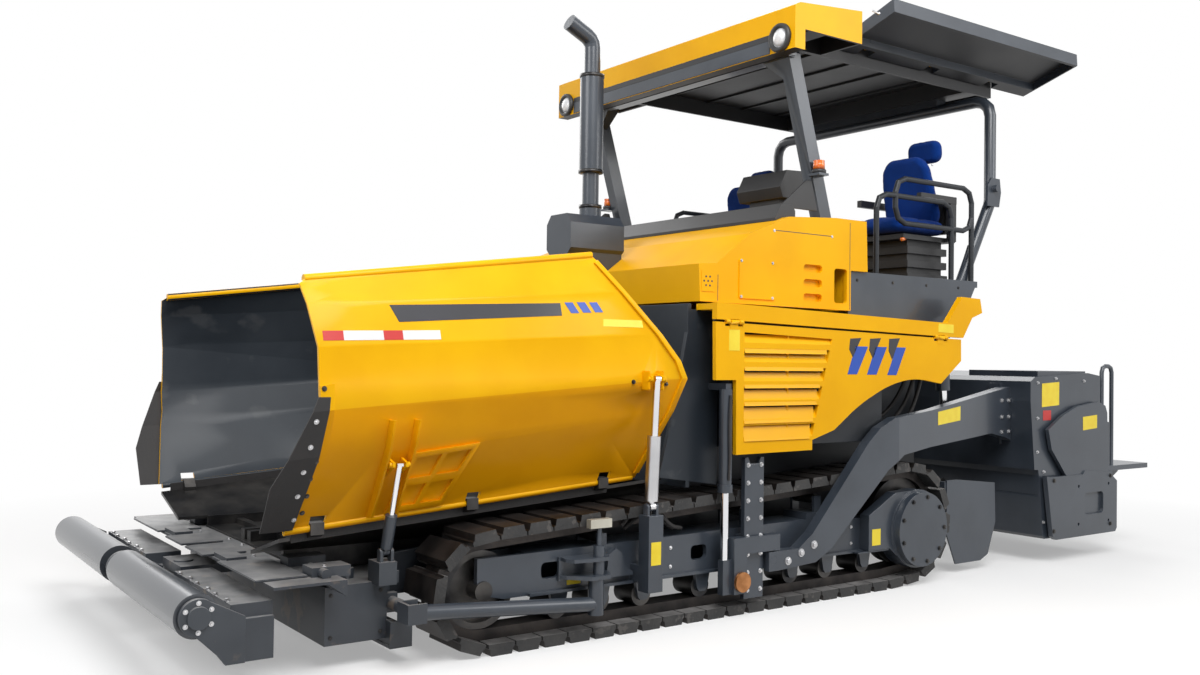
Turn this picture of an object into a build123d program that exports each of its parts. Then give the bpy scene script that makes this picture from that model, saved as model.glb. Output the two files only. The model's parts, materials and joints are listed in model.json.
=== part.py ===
from build123d import *
import math
import os

# Tracked asphalt paver. Millimetres. +X forward to the push rollers, +Y left, +Z up.
# Origin on the ground, under the middle of the whole machine.

PIN_GAP = 0.4        # radial clearance of a pin in its bore
SEAT = 0.3           # clearance of a curved piece on its seat

# Tracks
TRACK_IN, TRACK_OUT = 880.0, 1180.0
IDLER_X, IDLER_R = 2118.0, 285.0
SPROCKET_X, SPROCKET_Z, SPROCKET_R = -830.0, 380.0, 365.0
TRACK_T = 105.0
TRACK_MID = (TRACK_IN + TRACK_OUT) / 2
WHEEL_HALF = 55.0
LOWER_ROLLERS = (1700.0, 1450.0, 1190.0, 800.0, 480.0, 134.0, -149.0, -465.0)
FRAME_WINDOWS, WINDOW_Z = (1753.0, 1389.0, 832.0), 345.0
SHOES, PAD_H, PIN_INSET, RAIL_HALF = 52, 54.0, 75.0, 62.0
LIFT_OFF_X = -640.0  # the ground run leaves the ground here, on its way up to the sprocket
ROLLER_R, CARRIER_R = 60.0, 28.0
FRAME_IN, FRAME_OUT, FRAME_WALL = 925.0, 1125.0, 30.0
FRAME_LOW = 238.0
HULL_Y, HULL_WALL = 812.0, 30.0
COVER_X, COVER_Z, COVER_R = -850.0, 345.0, 235.0

# Hopper
HOP_FRONT, HOP_REAR = 3020.0, 1000.0
HINGE_Y, HINGE_Z_FRONT, HINGE_Z_REAR = 965.0, 600.0, 745.0
PLATE = 14.0
# Hopper cylinders: x, base pin (y, z), top pin (y, z), barrel length, rod start, bore and rod radii
CYL_PINS = {
    "main": (1235.0, (1228.0, 620.0), (1262.0, 1250.0), 350.0, 203.0, 34.0, 18.0, 16.0),
    "front": (2560.0, (1040.0, 490.0), (1165.0, 880.0), 175.0, 112.0, 26.0, 13.0, 14.0),
}

# Tow point and screed
TOW_X, TOW_Z, TOW_R = 415.0, 282.0, 22.0
ARM_IN, ARM_T = 1192.0, 64.0
ARM_OUT = ARM_IN + ARM_T

AUGER_X, AUGER_Z = -1620.0, 400.0
LIFT_Y, LIFT_TOP, LIFT_LOW = 1012.0, (-1300.0, 1570.0), (-1350.0, 900.0)
TUBE_X, TUBE_R, TUBE_Z = -2925.0, 34.0, (760.0, 880.0)

# Push rollers
ROLL_X, ROLL_Z, ROLL_R = 3405.0, 345.0, 86.0
ROLL_IN, ROLL_OUT = 70.0, 1190.0
ROLL_PIN_R = 24.0
PUSH_PIVOT_X, PUSH_PIVOT_R = 3130.0, 45.0

parts = {}


def box(x0, x1, y0, y1, z0, z1):
    size = Box(abs(x1 - x0), abs(y1 - y0), abs(z1 - z0))
    return Pos((x0 + x1) / 2, (y0 + y1) / 2, (z0 + z1) / 2) * size


def slab_xz(points, y0, y1):
    """Side outline (x, z) carried across from y0 to y1."""
    face = make_face(Polyline([(x, 0, z) for x, z in points], close=True))
    return Pos(0, min(y0, y1), 0) * extrude(face, abs(y1 - y0), dir=(0, 1, 0))


def slab_xy(points, z0, z1):
    face = make_face(Polyline([(x, y, 0) for x, y in points], close=True))
    return Pos(0, 0, min(z0, z1)) * extrude(face, abs(z1 - z0), dir=(0, 0, 1))


def slab_yz(points, x0, x1):
    face = make_face(Polyline([(0, y, z) for y, z in points], close=True))
    return Pos(min(x0, x1), 0, 0) * extrude(face, abs(x1 - x0), dir=(1, 0, 0))


def pill_y(x, z, wide, high, r, y0, y1):
    """Rounded block through Y, wide along X and high along Z."""
    face = RectangleRounded(wide, high, r)
    return Pos(x, max(y0, y1), z) * Rot(90, 0, 0) * extrude(face, abs(y1 - y0))


def rod_y(x, z, y0, y1, r):
    return Pos(x, (y0 + y1) / 2, z) * Rot(90, 0, 0) * Cylinder(r, abs(y1 - y0))


def rod_x(y, z, x0, x1, r):
    return Pos((x0 + x1) / 2, y, z) * Rot(0, 90, 0) * Cylinder(r, abs(x1 - x0))


def rod_z(x, y, z0, z1, r):
    return Pos(x, y, (z0 + z1) / 2) * Cylinder(r, abs(z1 - z0))


def rod(a, b, r):
    """Round bar from point a to point b."""
    start, end = Vector(*a), Vector(*b)
    along = end - start
    return Plane(origin=start, z_dir=along) * Cylinder(
        r, along.length, align=(Align.CENTER, Align.CENTER, Align.MIN))


def pipe(points, r, bend, closed=False, steps=3):
    """Round pipe along straight runs; each corner is a bend of steps + 1 mitred joints."""
    corners = [Vector(*p) for p in points]
    count = len(corners)
    stops = []
    for k, corner in enumerate(corners):
        if not closed and k in (0, count - 1):
            stops.append(corner)
            continue
        back = (corners[k - 1] - corner).normalized()
        ahead = (corners[(k + 1) % count] - corner).normalized()
        half = math.acos(max(-1.0, min(1.0, back.dot(ahead)))) / 2
        reach = bend / math.tan(half)
        centre = corner + (back + ahead).normalized() * (bend / math.sin(half))
        start, end = corner + back * reach - centre, corner + ahead * reach - centre
        turn = math.pi - 2 * half
        for i in range(steps + 1):
            t = turn * i / steps
            stops.append(centre + (start * math.sin(turn - t) + end * math.sin(t)) * (1 / math.sin(turn)))
    legs = list(zip(stops, stops[1:])) + ([(stops[-1], stops[0])] if closed else [])
    pieces = []
    for k, (a, b) in enumerate(legs):
        way = (b - a).normalized()
        before = legs[k - 1] if closed or k else None
        after = legs[(k + 1) % len(legs)] if closed or k < len(legs) - 1 else None
        piece = rod(tuple(a - way * (r if before else 0)), tuple(b + way * (r if after else 0)), r)
        for end, other, sign in ((a, before, -1), (b, after, 1)):
            if other:
                other_way = (other[1] - other[0]).normalized()
                piece -= Plane(origin=end, z_dir=(way + other_way) * sign) * Pos(0, 0, 3 * r) * Box(8 * r, 8 * r, 6 * r)
        pieces.append(piece)
    return fuse(pieces)


def other_side(shape):
    return shape.mirror(Plane.XZ)


def both(shape):
    return [shape, other_side(shape)]


def fuse(*shapes):
    flat = []
    for s in shapes:
        flat.extend(s if isinstance(s, (list, tuple)) else [s])
    first, rest = flat[0], flat[1:]
    return first.fuse(*rest) if rest else first


def put(name, *shapes):
    flat = []
    for s in shapes:
        flat.extend(s if isinstance(s, (list, tuple)) else [s])
    solids = []
    for s in flat:
        solids.extend(s.solids())
    parts[name] = Compound(children=solids) if len(solids) > 1 else solids[0]


# ---------------------------------------------------------------- tracks
def run_angles(inset):
    """Radii of the idler and sprocket arcs, and the angles where the upper and the ground runs meet them."""
    ri, rs = IDLER_R - inset, SPROCKET_R - inset
    dx, dz = SPROCKET_X - IDLER_X, SPROCKET_Z - IDLER_R
    upper = math.degrees(math.atan2(dz, dx) - math.acos((ri - rs) / math.hypot(dx, dz)))
    dx, dz = LIFT_OFF_X - SPROCKET_X, inset - SPROCKET_Z
    ground = math.degrees(math.atan2(dz, dx) - math.acos(rs / math.hypot(dx, dz)))
    return ri, rs, upper, ground + 360


def on_circle(x, z, r, angle):
    return (x + r * math.cos(math.radians(angle)), z + r * math.sin(math.radians(angle)))


def loop_face(inset):
    """Area inside the track loop moved inward by inset."""
    ri, rs, upper, ground = run_angles(inset)
    front_top = on_circle(IDLER_X, IDLER_R, ri, upper)
    rear_top = on_circle(SPROCKET_X, SPROCKET_Z, rs, upper)
    rear_low = on_circle(SPROCKET_X, SPROCKET_Z, rs, ground)
    lift_off, front_low = (LIFT_OFF_X, inset), (IDLER_X, inset)
    edges = [CenterArc((IDLER_X, IDLER_R), ri, -90, upper + 90), Line(front_top, rear_top),
             CenterArc((SPROCKET_X, SPROCKET_Z), rs, upper, ground - upper), Line(rear_low, lift_off),
             Line(lift_off, front_low)]
    return make_face(Wire(edges))


def loop_point(inset, along):
    """Point on the inset loop, at along from 0 to 1 round it from under the idler and up its front."""
    ri, rs, upper, ground = run_angles(inset)
    rear_top = on_circle(SPROCKET_X, SPROCKET_Z, rs, upper)
    rear_low = on_circle(SPROCKET_X, SPROCKET_Z, rs, ground)
    front_top = on_circle(IDLER_X, IDLER_R, ri, upper)
    lengths = [ri * math.radians(upper + 90), math.dist(front_top, rear_top), rs * math.radians(ground - upper),
               math.dist(rear_low, (LIFT_OFF_X, inset)), IDLER_X - LIFT_OFF_X]
    left = (along % 1.0) * sum(lengths)
    leg = 0
    while left > lengths[leg]:
        left -= lengths[leg]
        leg += 1
    t = left / lengths[leg]
    if leg == 0:
        return on_circle(IDLER_X, IDLER_R, ri, -90 + t * (upper + 90))
    if leg == 2:
        return on_circle(SPROCKET_X, SPROCKET_Z, rs, upper + t * (ground - upper))
    start, end = {1: (front_top, rear_top), 3: (rear_low, (LIFT_OFF_X, inset)),
                  4: ((LIFT_OFF_X, inset), (IDLER_X, inset))}[leg]
    return (start[0] + t * (end[0] - start[0]), start[1] + t * (end[1] - start[1]))


def top_run(x):
    """Outer height of the upper run at x."""
    start, end = 2 * IDLER_R, SPROCKET_Z + SPROCKET_R
    return start + (end - start) * (IDLER_X - x) / (IDLER_X - SPROCKET_X)


# shoe outline: distance along the chain, height outward from the chain pins
SHOE = [(-68, PIN_INSET - PAD_H), (-68, 40), (-60, 46), (-53, PIN_INSET), (53, PIN_INSET), (60, 46), (68, 40),
        (68, PIN_INSET - PAD_H)]
rails = loop_face(PAD_H - 4) - loop_face(TRACK_T)
track_l = Pos(0, TRACK_MID + RAIL_HALF, 0) * Rot(90, 0, 0) * extrude(rails, 2 * RAIL_HALF)
shoes = []
for k in range(SHOES):
    (x0, z0), (x1, z1) = loop_point(PIN_INSET, k / SHOES), loop_point(PIN_INSET, (k + 1) / SHOES)
    length = math.dist((x0, z0), (x1, z1))
    ux, uz = (x1 - x0) / length, (z1 - z0) / length
    outline = [((x0 + x1) / 2 + ux * s + uz * h, (z0 + z1) / 2 + uz * s - ux * h) for s, h in SHOE]
    shoes.append(slab_xz(outline, TRACK_IN, TRACK_OUT))
track_l = fuse(track_l, shoes)
put("track_l", track_l)
put("track_r", other_side(track_l))

roller_z = TRACK_T + ROLLER_R + SEAT
FRAME_TOP = ((2150.0, 432.0), (1217.0, 440.0), (79.0, 456.0), (-520.0, 426.0))
frame_side = list(FRAME_TOP) + [(-560, 380), (-560, FRAME_LOW), (2010, FRAME_LOW), (2150, 270)]
track_frame = slab_xz(frame_side, FRAME_IN, FRAME_OUT)
hollow = [(2300, 50), (2300, 600), (1880, 600), (1880, 395), (-480, 395), (-480, FRAME_LOW + 25), (1880, FRAME_LOW + 25),
          (1880, 50)]
track_frame -= slab_xz(hollow, FRAME_IN + FRAME_WALL, FRAME_OUT - FRAME_WALL)
for x in FRAME_WINDOWS:
    track_frame -= pill_y(x, WINDOW_Z, 108, 76, 24, FRAME_OUT - FRAME_WALL - 5, FRAME_OUT + 5)
carriers = [(x, top_run(x) - TRACK_T - CARRIER_R - 3) for x in (1450.0, 500.0, -60.0)]
ROLLER_IN, ROLLER_OUT = FRAME_IN + 25, FRAME_OUT - 25
rollers = []
for x in LOWER_ROLLERS:
    for y in (ROLLER_IN, ROLLER_OUT + 20):
        hanger = slab_xz([(x - 52, FRAME_LOW + 5), (x + 52, FRAME_LOW + 5), (x + 34, roller_z - 8), (x + 20, roller_z - 26),
                          (x - 20, roller_z - 26), (x - 34, roller_z - 8)], y - 20, y)
        track_frame += hanger
    rollers.append(rod_y(x, roller_z, ROLLER_IN, ROLLER_OUT, ROLLER_R))
for x, z in carriers:
    for y in (ROLLER_IN, ROLLER_OUT + 20):
        track_frame += box(x - 26, x + 26, y - 20, y, 420, z + 18)
    rollers.append(rod_y(x, z, ROLLER_IN, ROLLER_OUT, CARRIER_R))
track_frame -= rod_y(IDLER_X, IDLER_R, FRAME_IN - 5, FRAME_OUT + 5, 45 + SEAT)
cross_axles = [box(x - 150, x + 150, HULL_Y, FRAME_IN + 5, 260, 420) for x in (1350, -150)]
track_frame = fuse(track_frame, cross_axles,
                   box(-412, 1880, FRAME_OUT - 5, FRAME_OUT + 22, FRAME_LOW - 2, FRAME_LOW + 12),
                   slab_xz([(-330, 440), (40, 440), (30, 492), (-300, 478)], FRAME_IN + 20, FRAME_OUT),
                   box(-598, -330, FRAME_OUT - 5, TRACK_OUT + 8, FRAME_LOW - 2, FRAME_LOW + 6))
put("track_frames", both(track_frame))

# idler with a dished web, sprocket disc on its hub
idler_r = IDLER_R - TRACK_T - SEAT
idler = rod_y(IDLER_X, IDLER_R, TRACK_MID - WHEEL_HALF, TRACK_MID + WHEEL_HALF, idler_r)
for y0, y1 in ((TRACK_MID - WHEEL_HALF - 1, TRACK_MID - 20), (TRACK_MID + 20, TRACK_MID + WHEEL_HALF + 1)):
    idler -= rod_y(IDLER_X, IDLER_R, y0, y1, idler_r - 30)
idler = fuse(idler, rod_y(IDLER_X, IDLER_R, FRAME_IN - 4, FRAME_OUT + 8, 45))
HOUSING_IN = 1096.0
sprocket = fuse(rod_y(SPROCKET_X, SPROCKET_Z, TRACK_MID - 30, TRACK_MID + 30, SPROCKET_R - TRACK_T - SEAT),
                rod_y(SPROCKET_X, SPROCKET_Z, HULL_Y, HOUSING_IN, 150))
put("track_wheels", both(idler), both(sprocket), *[both(r) for r in rollers])

# final drive: round case inside the loop, sloping shoulder on the track frame, raised cover
HOUSING_OUT = 1200.0
shoulder = [(COVER_X, COVER_Z + COVER_R - 2), (-650, 572), (-415, 452), (-415, 246), (-600, 246), (-700, 170),
            (COVER_X, COVER_Z - COVER_R + 2)]
case = fuse(rod_y(COVER_X, COVER_Z, HOUSING_IN, HOUSING_OUT, COVER_R), slab_xz(shoulder, FRAME_OUT, HOUSING_OUT - 6),
            rod_y(COVER_X, COVER_Z, HOUSING_OUT - 1, HOUSING_OUT + 44, COVER_R - 12))
put("drive_covers", both(case))

# stay tube from the front beam to a yoke on the track frame, with a T-handled locking pin
STAY_R, STAY_Y, STAY_PIN_R = 34.0, 1218.0, 16.0
STAY_FRONT, STAY_REAR = (2505.0, 256.0), (1570.0, 180.0)
stay = fuse(rod((STAY_FRONT[0] + 34, STAY_Y, STAY_FRONT[1]), (STAY_REAR[0], STAY_Y, STAY_REAR[1]), STAY_R),
            rod_z(STAY_REAR[0] - 15, STAY_Y, 130, 304, 38),
            slab_xy([(1440, FRAME_OUT + 5), (1716, FRAME_OUT + 5), (1690, 1170), (1610, 1262), (1500, 1262),
                     (1450, 1180)], 300, 318),
            slab_xy([(1450, FRAME_OUT + 5), (1700, FRAME_OUT + 5), (1712, 1190), (1690, 1232), (1640, 1240),
                     (1600, 1250), (1500, 1250), (1470, 1200)], 385, 402),
            box(1440, 1716, FRAME_OUT, FRAME_OUT + 14, 290, 402),
            rod_z(1540, STAY_Y, 312, 455, 27), rod_z(1540, STAY_Y, 450, 548, 12),
            box(1478, 1602, STAY_Y - 18, STAY_Y + 18, 540, 582),
            slab_xz([(1450, 300), (1440, 392), (1395, 420), (1355, 392), (1345, 330), (1290, 300), (1290, 282),
                     (1450, 282)], FRAME_OUT, FRAME_OUT + 36))
stay -= rod_y(*STAY_FRONT, STAY_Y - 60, STAY_Y + 60, STAY_PIN_R + SEAT)
put("stays", both(stay))

# ---------------------------------------------------------------- hull between the tracks
hull_side = [(2430, 250), (2430, 440), (880, 560), (880, 1560), (-1180, 1500),
             (-1300, 1250), (-1300, 500), (-1180, 250)]
hull = slab_xz(hull_side, HULL_Y - HULL_WALL, HULL_Y)
hull = fuse(hull, other_side(hull),
            box(-1180, 2430, -HULL_Y, HULL_Y, 250, 275),
            box(-1300, -1270, -HULL_Y, HULL_Y, 800, 1250),
            box(-300, -200, -HULL_Y, HULL_Y, 840, 900),
            box(500, 600, -HULL_Y, HULL_Y, 840, 900))
# side tanks over the tracks, behind the side doors
TANK_OUT = ARM_IN - 17
tank = box(-540, 680, HULL_Y - 5, TANK_OUT, 885, 1540)
put("hull", fuse(hull, tank, other_side(tank)))

CHAIN_Y, FLOOR_Z, FLOOR_FRONT = 560.0, 400.0, 2850.0
BEAM_TOP = 358.0
floor = [box(-1330, FLOOR_FRONT, -CHAIN_Y, CHAIN_Y, FLOOR_Z, FLOOR_Z + 20)]
for y in (CHAIN_Y, -CHAIN_Y - 25):
    floor.append(box(-1330, FLOOR_FRONT, y, y + 25, BEAM_TOP, FLOOR_Z + 70))
    for x in (-1000, 200, 1400, 2300):
        floor.append(box(x - 60, x + 60, y, y + 25, 275, BEAM_TOP + 5))
for y in (20, -70):
    floor.append(box(-1300, FLOOR_FRONT - 20, y, y + 50, FLOOR_Z + 20, FLOOR_Z + 70))
# conveyor bars, carried across between the chain covers
for k in range(17):
    x = -1180 + k * 240
    for y0, y1 in ((-CHAIN_Y, -70), (70, CHAIN_Y)):
        floor.append(box(x, x + 40, y0, y1, FLOOR_Z + 15, FLOOR_Z + 48))


def section(points, x):
    return make_face(Polyline([(x, y, z) for y, z in points], close=True))


def slope_section(hinge_z):
    edge = HINGE_Y - 26
    return [(edge, hinge_z - 30), (CHAIN_Y + 25, FLOOR_Z + 70), (CHAIN_Y + 25, FLOOR_Z + 55), (edge, hinge_z - 46)]


HINGE_A = (HOP_FRONT - 30, HINGE_Y - 2, HINGE_Z_FRONT)
HINGE_B = (HOP_REAR + 160, HINGE_Y - 2, HINGE_Z_REAR - 8)
HINGE_R = 16.0


def hinge_z(x):
    return HINGE_A[2] + (HINGE_B[2] - HINGE_A[2]) * (HINGE_A[0] - x) / (HINGE_A[0] - HINGE_B[0])


HINGE_LUGS = (2850.0, 2100.0, 1350.0)
slope = loft([section(slope_section(hinge_z(HOP_FRONT - 20)), HOP_FRONT - 20),
              section(slope_section(hinge_z(HOP_REAR - 60)), HOP_REAR - 60)], ruled=True)
hinge_rod = rod(HINGE_A, HINGE_B, HINGE_R)
hinge_bore = rod(HINGE_A, HINGE_B, HINGE_R + PIN_GAP)
lugs = []
for x in HINGE_LUGS:
    z = hinge_z(x)
    lug = slab_yz([(HINGE_Y - 60, z - 60), (HINGE_Y + 22, z - 30), (HINGE_Y + 22, z + 22), (HINGE_Y - 24, z + 24),
                   (HINGE_Y - 60, z - 20)], x - 30, x + 30)
    lugs.append(lug - hinge_bore)
conveyor = fuse(floor, slope, other_side(slope), lugs, [other_side(g) for g in lugs])
put("conveyor_floor", conveyor)

BULK_X, BULK_T, BULK_Y, BULK_LOW = 880.0, 25.0, 1100.0, 680.0
bulk = box(BULK_X, BULK_X + BULK_T, -BULK_Y, BULK_Y, BULK_LOW, 1640)
bulk -= box(BULK_X - 10, BULK_X + 40, -CHAIN_Y, CHAIN_Y, 400, 830)
RETURN = [(690, 1610), (BULK_X, 1610), (955, 1250), (990, 1085), (1085, 742), (690, 684)]
returns = slab_xz(RETURN, BULK_Y - 25, BULK_Y)
put("bulkhead", fuse(bulk, returns, other_side(returns)))

# ---------------------------------------------------------------- hopper wings
# wing section: y, z at the front, z at the rear
WING = [(970.0, 600.0, 745.0), (1160.0, 915.0, 1095.0), (1216.0, 1107.0, 1255.0),
        (1200.0, 1374.0, 1478.0), (1140.0, 1545.0, 1700.0), (1065.0, 1652.0, 1930.0)]
WING_SIDE = [(3015, 560), (2945, 1000), (2940, 1160), (2945, 1374), (2985, 1640), (2900, 1700), (1560, 1905),
             (1480, 1830), (1050, 1340), (1010, 1250), (1050, 1085), (1150, 700), (1150, 500), (3015, 480)]


def wing_plate(k):
    """Bent plate between the front and rear sections; k picks z for the front or the rear."""
    outer = [(p[0], p[k]) for p in WING]
    inner = [(y - PLATE, z + (4 if i == 0 else 0)) for i, (y, z) in enumerate(outer)]
    return outer + inner[::-1]


WING_X0, WING_X1 = 3100.0, HOP_REAR - 20


def wing_skin(x, z):
    """Outer half width of the wing at x and height z."""
    t = (WING_X0 - x) / (WING_X0 - WING_X1)
    line = [(y, front + (rear - front) * t) for y, front, rear in WING]
    for (y0, z0), (y1, z1) in zip(line, line[1:]):
        if z <= z1:
            return y0 + (y1 - y0) * (z - z0) / (z1 - z0)
    return line[-1][0]


def wing_layer(inner, outer, side):
    """Layer over the bent wall, from inner to outer mm outside its outer face, cut to a side outline."""
    ends = []
    for k, x in ((1, WING_X0), (2, WING_X1)):
        line = [(p[0], p[k]) for p in WING]
        ends.append(section([(y + outer, z) for y, z in line] + [(y + inner, z) for y, z in line[::-1]], x))
    return loft(ends, ruled=True) & slab_xz(side, 800, 1400)


def patch(corners, u0, u1, v0, v1):
    """Part of a four-cornered field, u along its top and v down its sides, both from 0 to 1."""
    (a, b, c, d) = [Vector(x, 0, z) for x, z in corners]
    spots = []
    for u, v in ((u0, v0), (u1, v0), (u1, v1), (u0, v1)):
        spot = (a * (1 - u) + b * u) * (1 - v) + (d * (1 - u) + c * u) * v
        spots.append((spot.X, spot.Z))
    return spots


wing = loft([section(wing_plate(1), WING_X0), section(wing_plate(2), WING_X1)], ruled=True)
wing = wing & slab_xz(WING_SIDE, 800, 1400)
# pressed panel with four pockets, two ribs beside the front cylinder, strip that holds the rubber flap,
# rolled edges at the top and at the rear
PRESSED = [(2159, 961), (2485, 925), (2542, 651), (2265, 671)]
panel = wing_layer(-4, 16, PRESSED)
for u0, u1 in ((0.09, 0.46), (0.54, 0.91)):
    for v0, v1 in ((0.09, 0.44), (0.56, 0.91)):
        panel -= slab_xz(patch(PRESSED, u0, u1, v0, v1), 800, 1400)
ribs = [wing_layer(-4, 52, [(x, 1075), (x + 12, 1075), (x + 12, 640), (x, 640)]) for x in (2496, 2614)]
FLAP_STRIP = [(2880, 1230), (2940, 1220), (2943, 1000), (2994, 640), (2930, 640), (2882, 990)]
strip = wing_layer(-4, 9, FLAP_STRIP)
rear_edge = wing_layer(-4, 14, [(1010, 1250), (1050, 1085), (1135, 760), (1165, 760), (1082, 1085), (1044, 1250),
                                (1084, 1340), (1500, 1816), (1480, 1830), (1050, 1340)])
top_line = [(WING[-1][0], WING[-1][1] - 10), (WING[-1][0], WING[-1][2] - 10)]
top_edge = rod((WING_X0, top_line[0][0] - 8, top_line[0][1]), (WING_X1, top_line[1][0] - 8, top_line[1][1]), 20)
top_edge = top_edge & box(1500, 2960, 900, 1200, 1400, 2000)
wing = fuse(wing, panel, ribs, strip, rear_edge, top_edge)
RUBBER = [(2950, 1175), (3145, 690), (3120, 606), (2960, 606), (2925, 900), (2900, 1175)]
rubber = wing_layer(9 + SEAT, 18, RUBBER)
put("wing_flap_l", rubber)
put("wing_flap_r", other_side(rubber))
# The wing's ears stand clear of the rod's eye by so much on the low and high X sides, because the eye
# keeps its own plane while the wing turns about its sloping hinge.
EAR_ROOM = {"main": (7.5, 19.0), "front": (8.0, 13.0)}
clevises = []
for key, (x, base, top, length, start, r_barrel, r_rod, r_eye) in CYL_PINS.items():
    low, high = wing_skin(x, top[1] - 70) - PLATE / 2, wing_skin(x, top[1] + 30) - PLATE / 2
    for side, room in zip((-1, 1), EAR_ROOM[key]):
        x0 = x + side * (r_eye + room)
        ear = slab_yz([(low, top[1] - 70), (top[0] + 4, top[1] - r_eye), (top[0] + 18, top[1] - 8),
                       (top[0] + 18, top[1] + 12), (top[0] + 4, top[1] + r_eye), (high, top[1] + 30)],
                      x0, x0 + side * 12)
        clevises.append(ear)
        clevises.append(rod_x(top[0], top[1], x0 + side * 11, x0 + side * 24, 13))
wing_l = fuse(wing, hinge_rod, clevises)
for x in HINGE_LUGS:
    z = hinge_z(x)
    cut = box(x - 36, x + 36, HINGE_Y - 80, HINGE_Y + 60, z - 80, z + 52) - rod(HINGE_A, HINGE_B, HINGE_R)
    wing_l -= cut
put("wing_l", wing_l)
put("wing_r", other_side(wing_l))

for key, (x, base, top, length, start, r_barrel, r_rod, r_eye) in CYL_PINS.items():
    low, high = Vector(x, *base), Vector(x, *top)
    way = (high - low).normalized()
    barrel = fuse(rod(low + way * (r_barrel - 4), low + way * length, r_barrel),
                  rod_x(base[0], base[1], x - r_eye, x + r_eye, r_barrel - 12),
                  rod(low, low + way * r_barrel, r_eye))
    barrel -= rod(low + way * 45, low + way * (length + 5), r_rod + PIN_GAP)
    barrel -= rod_x(base[0], base[1], x - 60, x + 60, 9 + PIN_GAP)
    shaft = fuse(rod(low + way * start, high, r_rod), rod_x(top[0], top[1], x - r_eye, x + r_eye, r_rod - 2))
    put(key + "_barrel_l", barrel)
    put(key + "_barrel_r", other_side(barrel))
    put(key + "_rod_l", shaft)
    put(key + "_rod_r", other_side(shaft))


def base_fork(key, foot):
    """Two ears and a pin at the foot of a hopper cylinder, standing on foot."""
    x, base = CYL_PINS[key][0], CYL_PINS[key][1]
    r_eye = CYL_PINS[key][7]
    ears = []
    for side in (-1, 1):
        x0 = x + side * (r_eye + 4)
        ears.append(box(x0, x0 + side * 14, base[0] - 18, base[0] + 18, base[1] - 45, base[1]))
        ears.append(rod_x(base[0], base[1], min(x0, x0 + side * 14), max(x0, x0 + side * 14), 18))
    return fuse(foot, ears, rod_x(base[0], base[1], x - r_eye - 10, x + r_eye + 10, 9))


main_x, front_x = CYL_PINS["main"][0], CYL_PINS["front"][0]
post_foot = fuse(box(main_x - 45, main_x + 45, 1190, 1272, 205, 580),
                 box(main_x - 45, main_x + 45, FRAME_OUT, 1195, FRAME_LOW + 12, 330))
put("wing_posts", both(base_fork("main", post_foot)))

# ---------------------------------------------------------------- front beam and push rollers
DECK = [(2785, 345), (2862, 400), (3091, 400), (3091, 412), (2780, 412), (2780, 345)]
APRON = [(FLOOR_FRONT + 6, 400), (3091, 400), (3091, 412), (FLOOR_FRONT + 6, 412)]
beam = fuse(box(2530, 2817, -1000, 1000, 105, 355), box(2430, 2540, -HULL_Y, HULL_Y, 180, 350),
            box(2790, 3185, -160, 160, 300, 345), box(2600, 2785, -1000, 1000, 350, BEAM_TOP))
steps = fuse(box(2435, 2540, 700, 1060, 69, 82), box(2435, 2540, 700, 712, 69, 185), box(2435, 2540, 1048, 1060, 69, 185),
             box(2500, 2535, 700, 1060, 69, 185))
deck_side = fuse(slab_xz(DECK, CHAIN_Y + 40, 1150), slab_xz(APRON, 0, CHAIN_Y + 45), box(2720, 2892, 660, 760, 405, 452), box(2720, 2892, 930, 1040, 405, 452),
                 rod((2845, 900, 428), (2845, 1085, 428), 22), box(2995, 3085, 330, 520, 410, 432),
                 box(2470, 2545, 930, 990, 340, 392), rod_z(2660, 850, BEAM_TOP - 4, 402, 34),
                 rod_y(2505, 256, 990, STAY_Y - 45, 30), box(2480, 2545, 960, 1000, 215, 300))
front_foot = box(front_x - 42, front_x + 42, 955, 1070, 350, CYL_PINS["front"][1][1] - 40)
front_fork = base_fork("front", front_foot)
stay_clevis = fuse([box(2470, 2560, STAY_Y + side * 46 - 7, STAY_Y + side * 46 + 7, 215, 300) for side in (-1, 1)],
                   box(2546, 2560, STAY_Y - 46, STAY_Y + 46, 215, 300), rod_y(2505, 256, STAY_Y - 50, STAY_Y + 50, STAY_PIN_R))
for piece in (steps, deck_side, front_fork, stay_clevis):
    beam = fuse(beam, piece, other_side(piece))
beam -= rod_z(PUSH_PIVOT_X, 0, 200, 399, PUSH_PIVOT_R + PIN_GAP)
put("front_beam", beam)

push = fuse(box(3070, 3241, -1100, 1100, 120, 292), box(3070, 3241, 260, 1080, 285, 349),
            box(3070, 3241, -1080, -260, 285, 349), box(3235, 3300, -ROLL_OUT - 30, ROLL_OUT + 30, 170, 235))
BRACKET_R = 72.0
for y in (ROLL_OUT + 6, -ROLL_OUT - 30, -12):
    arm_plate = slab_xz([(3225, 150), (3225, 330), (ROLL_X - 20, ROLL_Z + BRACKET_R - 3), (ROLL_X, ROLL_Z),
                         (ROLL_X + 10, ROLL_Z - BRACKET_R + 1), (3330, 190), (3300, 150)], y, y + 24)
    push = fuse(push, arm_plate, rod_y(ROLL_X, ROLL_Z, y, y + 24, BRACKET_R))
push = fuse(push, rod_z(PUSH_PIVOT_X, 0, 285, 352, PUSH_PIVOT_R))
push -= rod_y(ROLL_X, ROLL_Z, -1300, 1300, ROLL_PIN_R + PIN_GAP)
cap = rod_y(ROLL_X, ROLL_Z, ROLL_OUT + 30, ROLL_OUT + 44, 44)
push = fuse(push, cap, other_side(cap))
put("push_beam", push)
roller = fuse(rod_y(ROLL_X, ROLL_Z, ROLL_IN, ROLL_OUT, ROLL_R),
              rod_y(ROLL_X, ROLL_Z, 2, ROLL_OUT + 28, ROLL_PIN_R))
put("push_roller_l", roller)
put("push_roller_r", other_side(roller))

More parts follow.
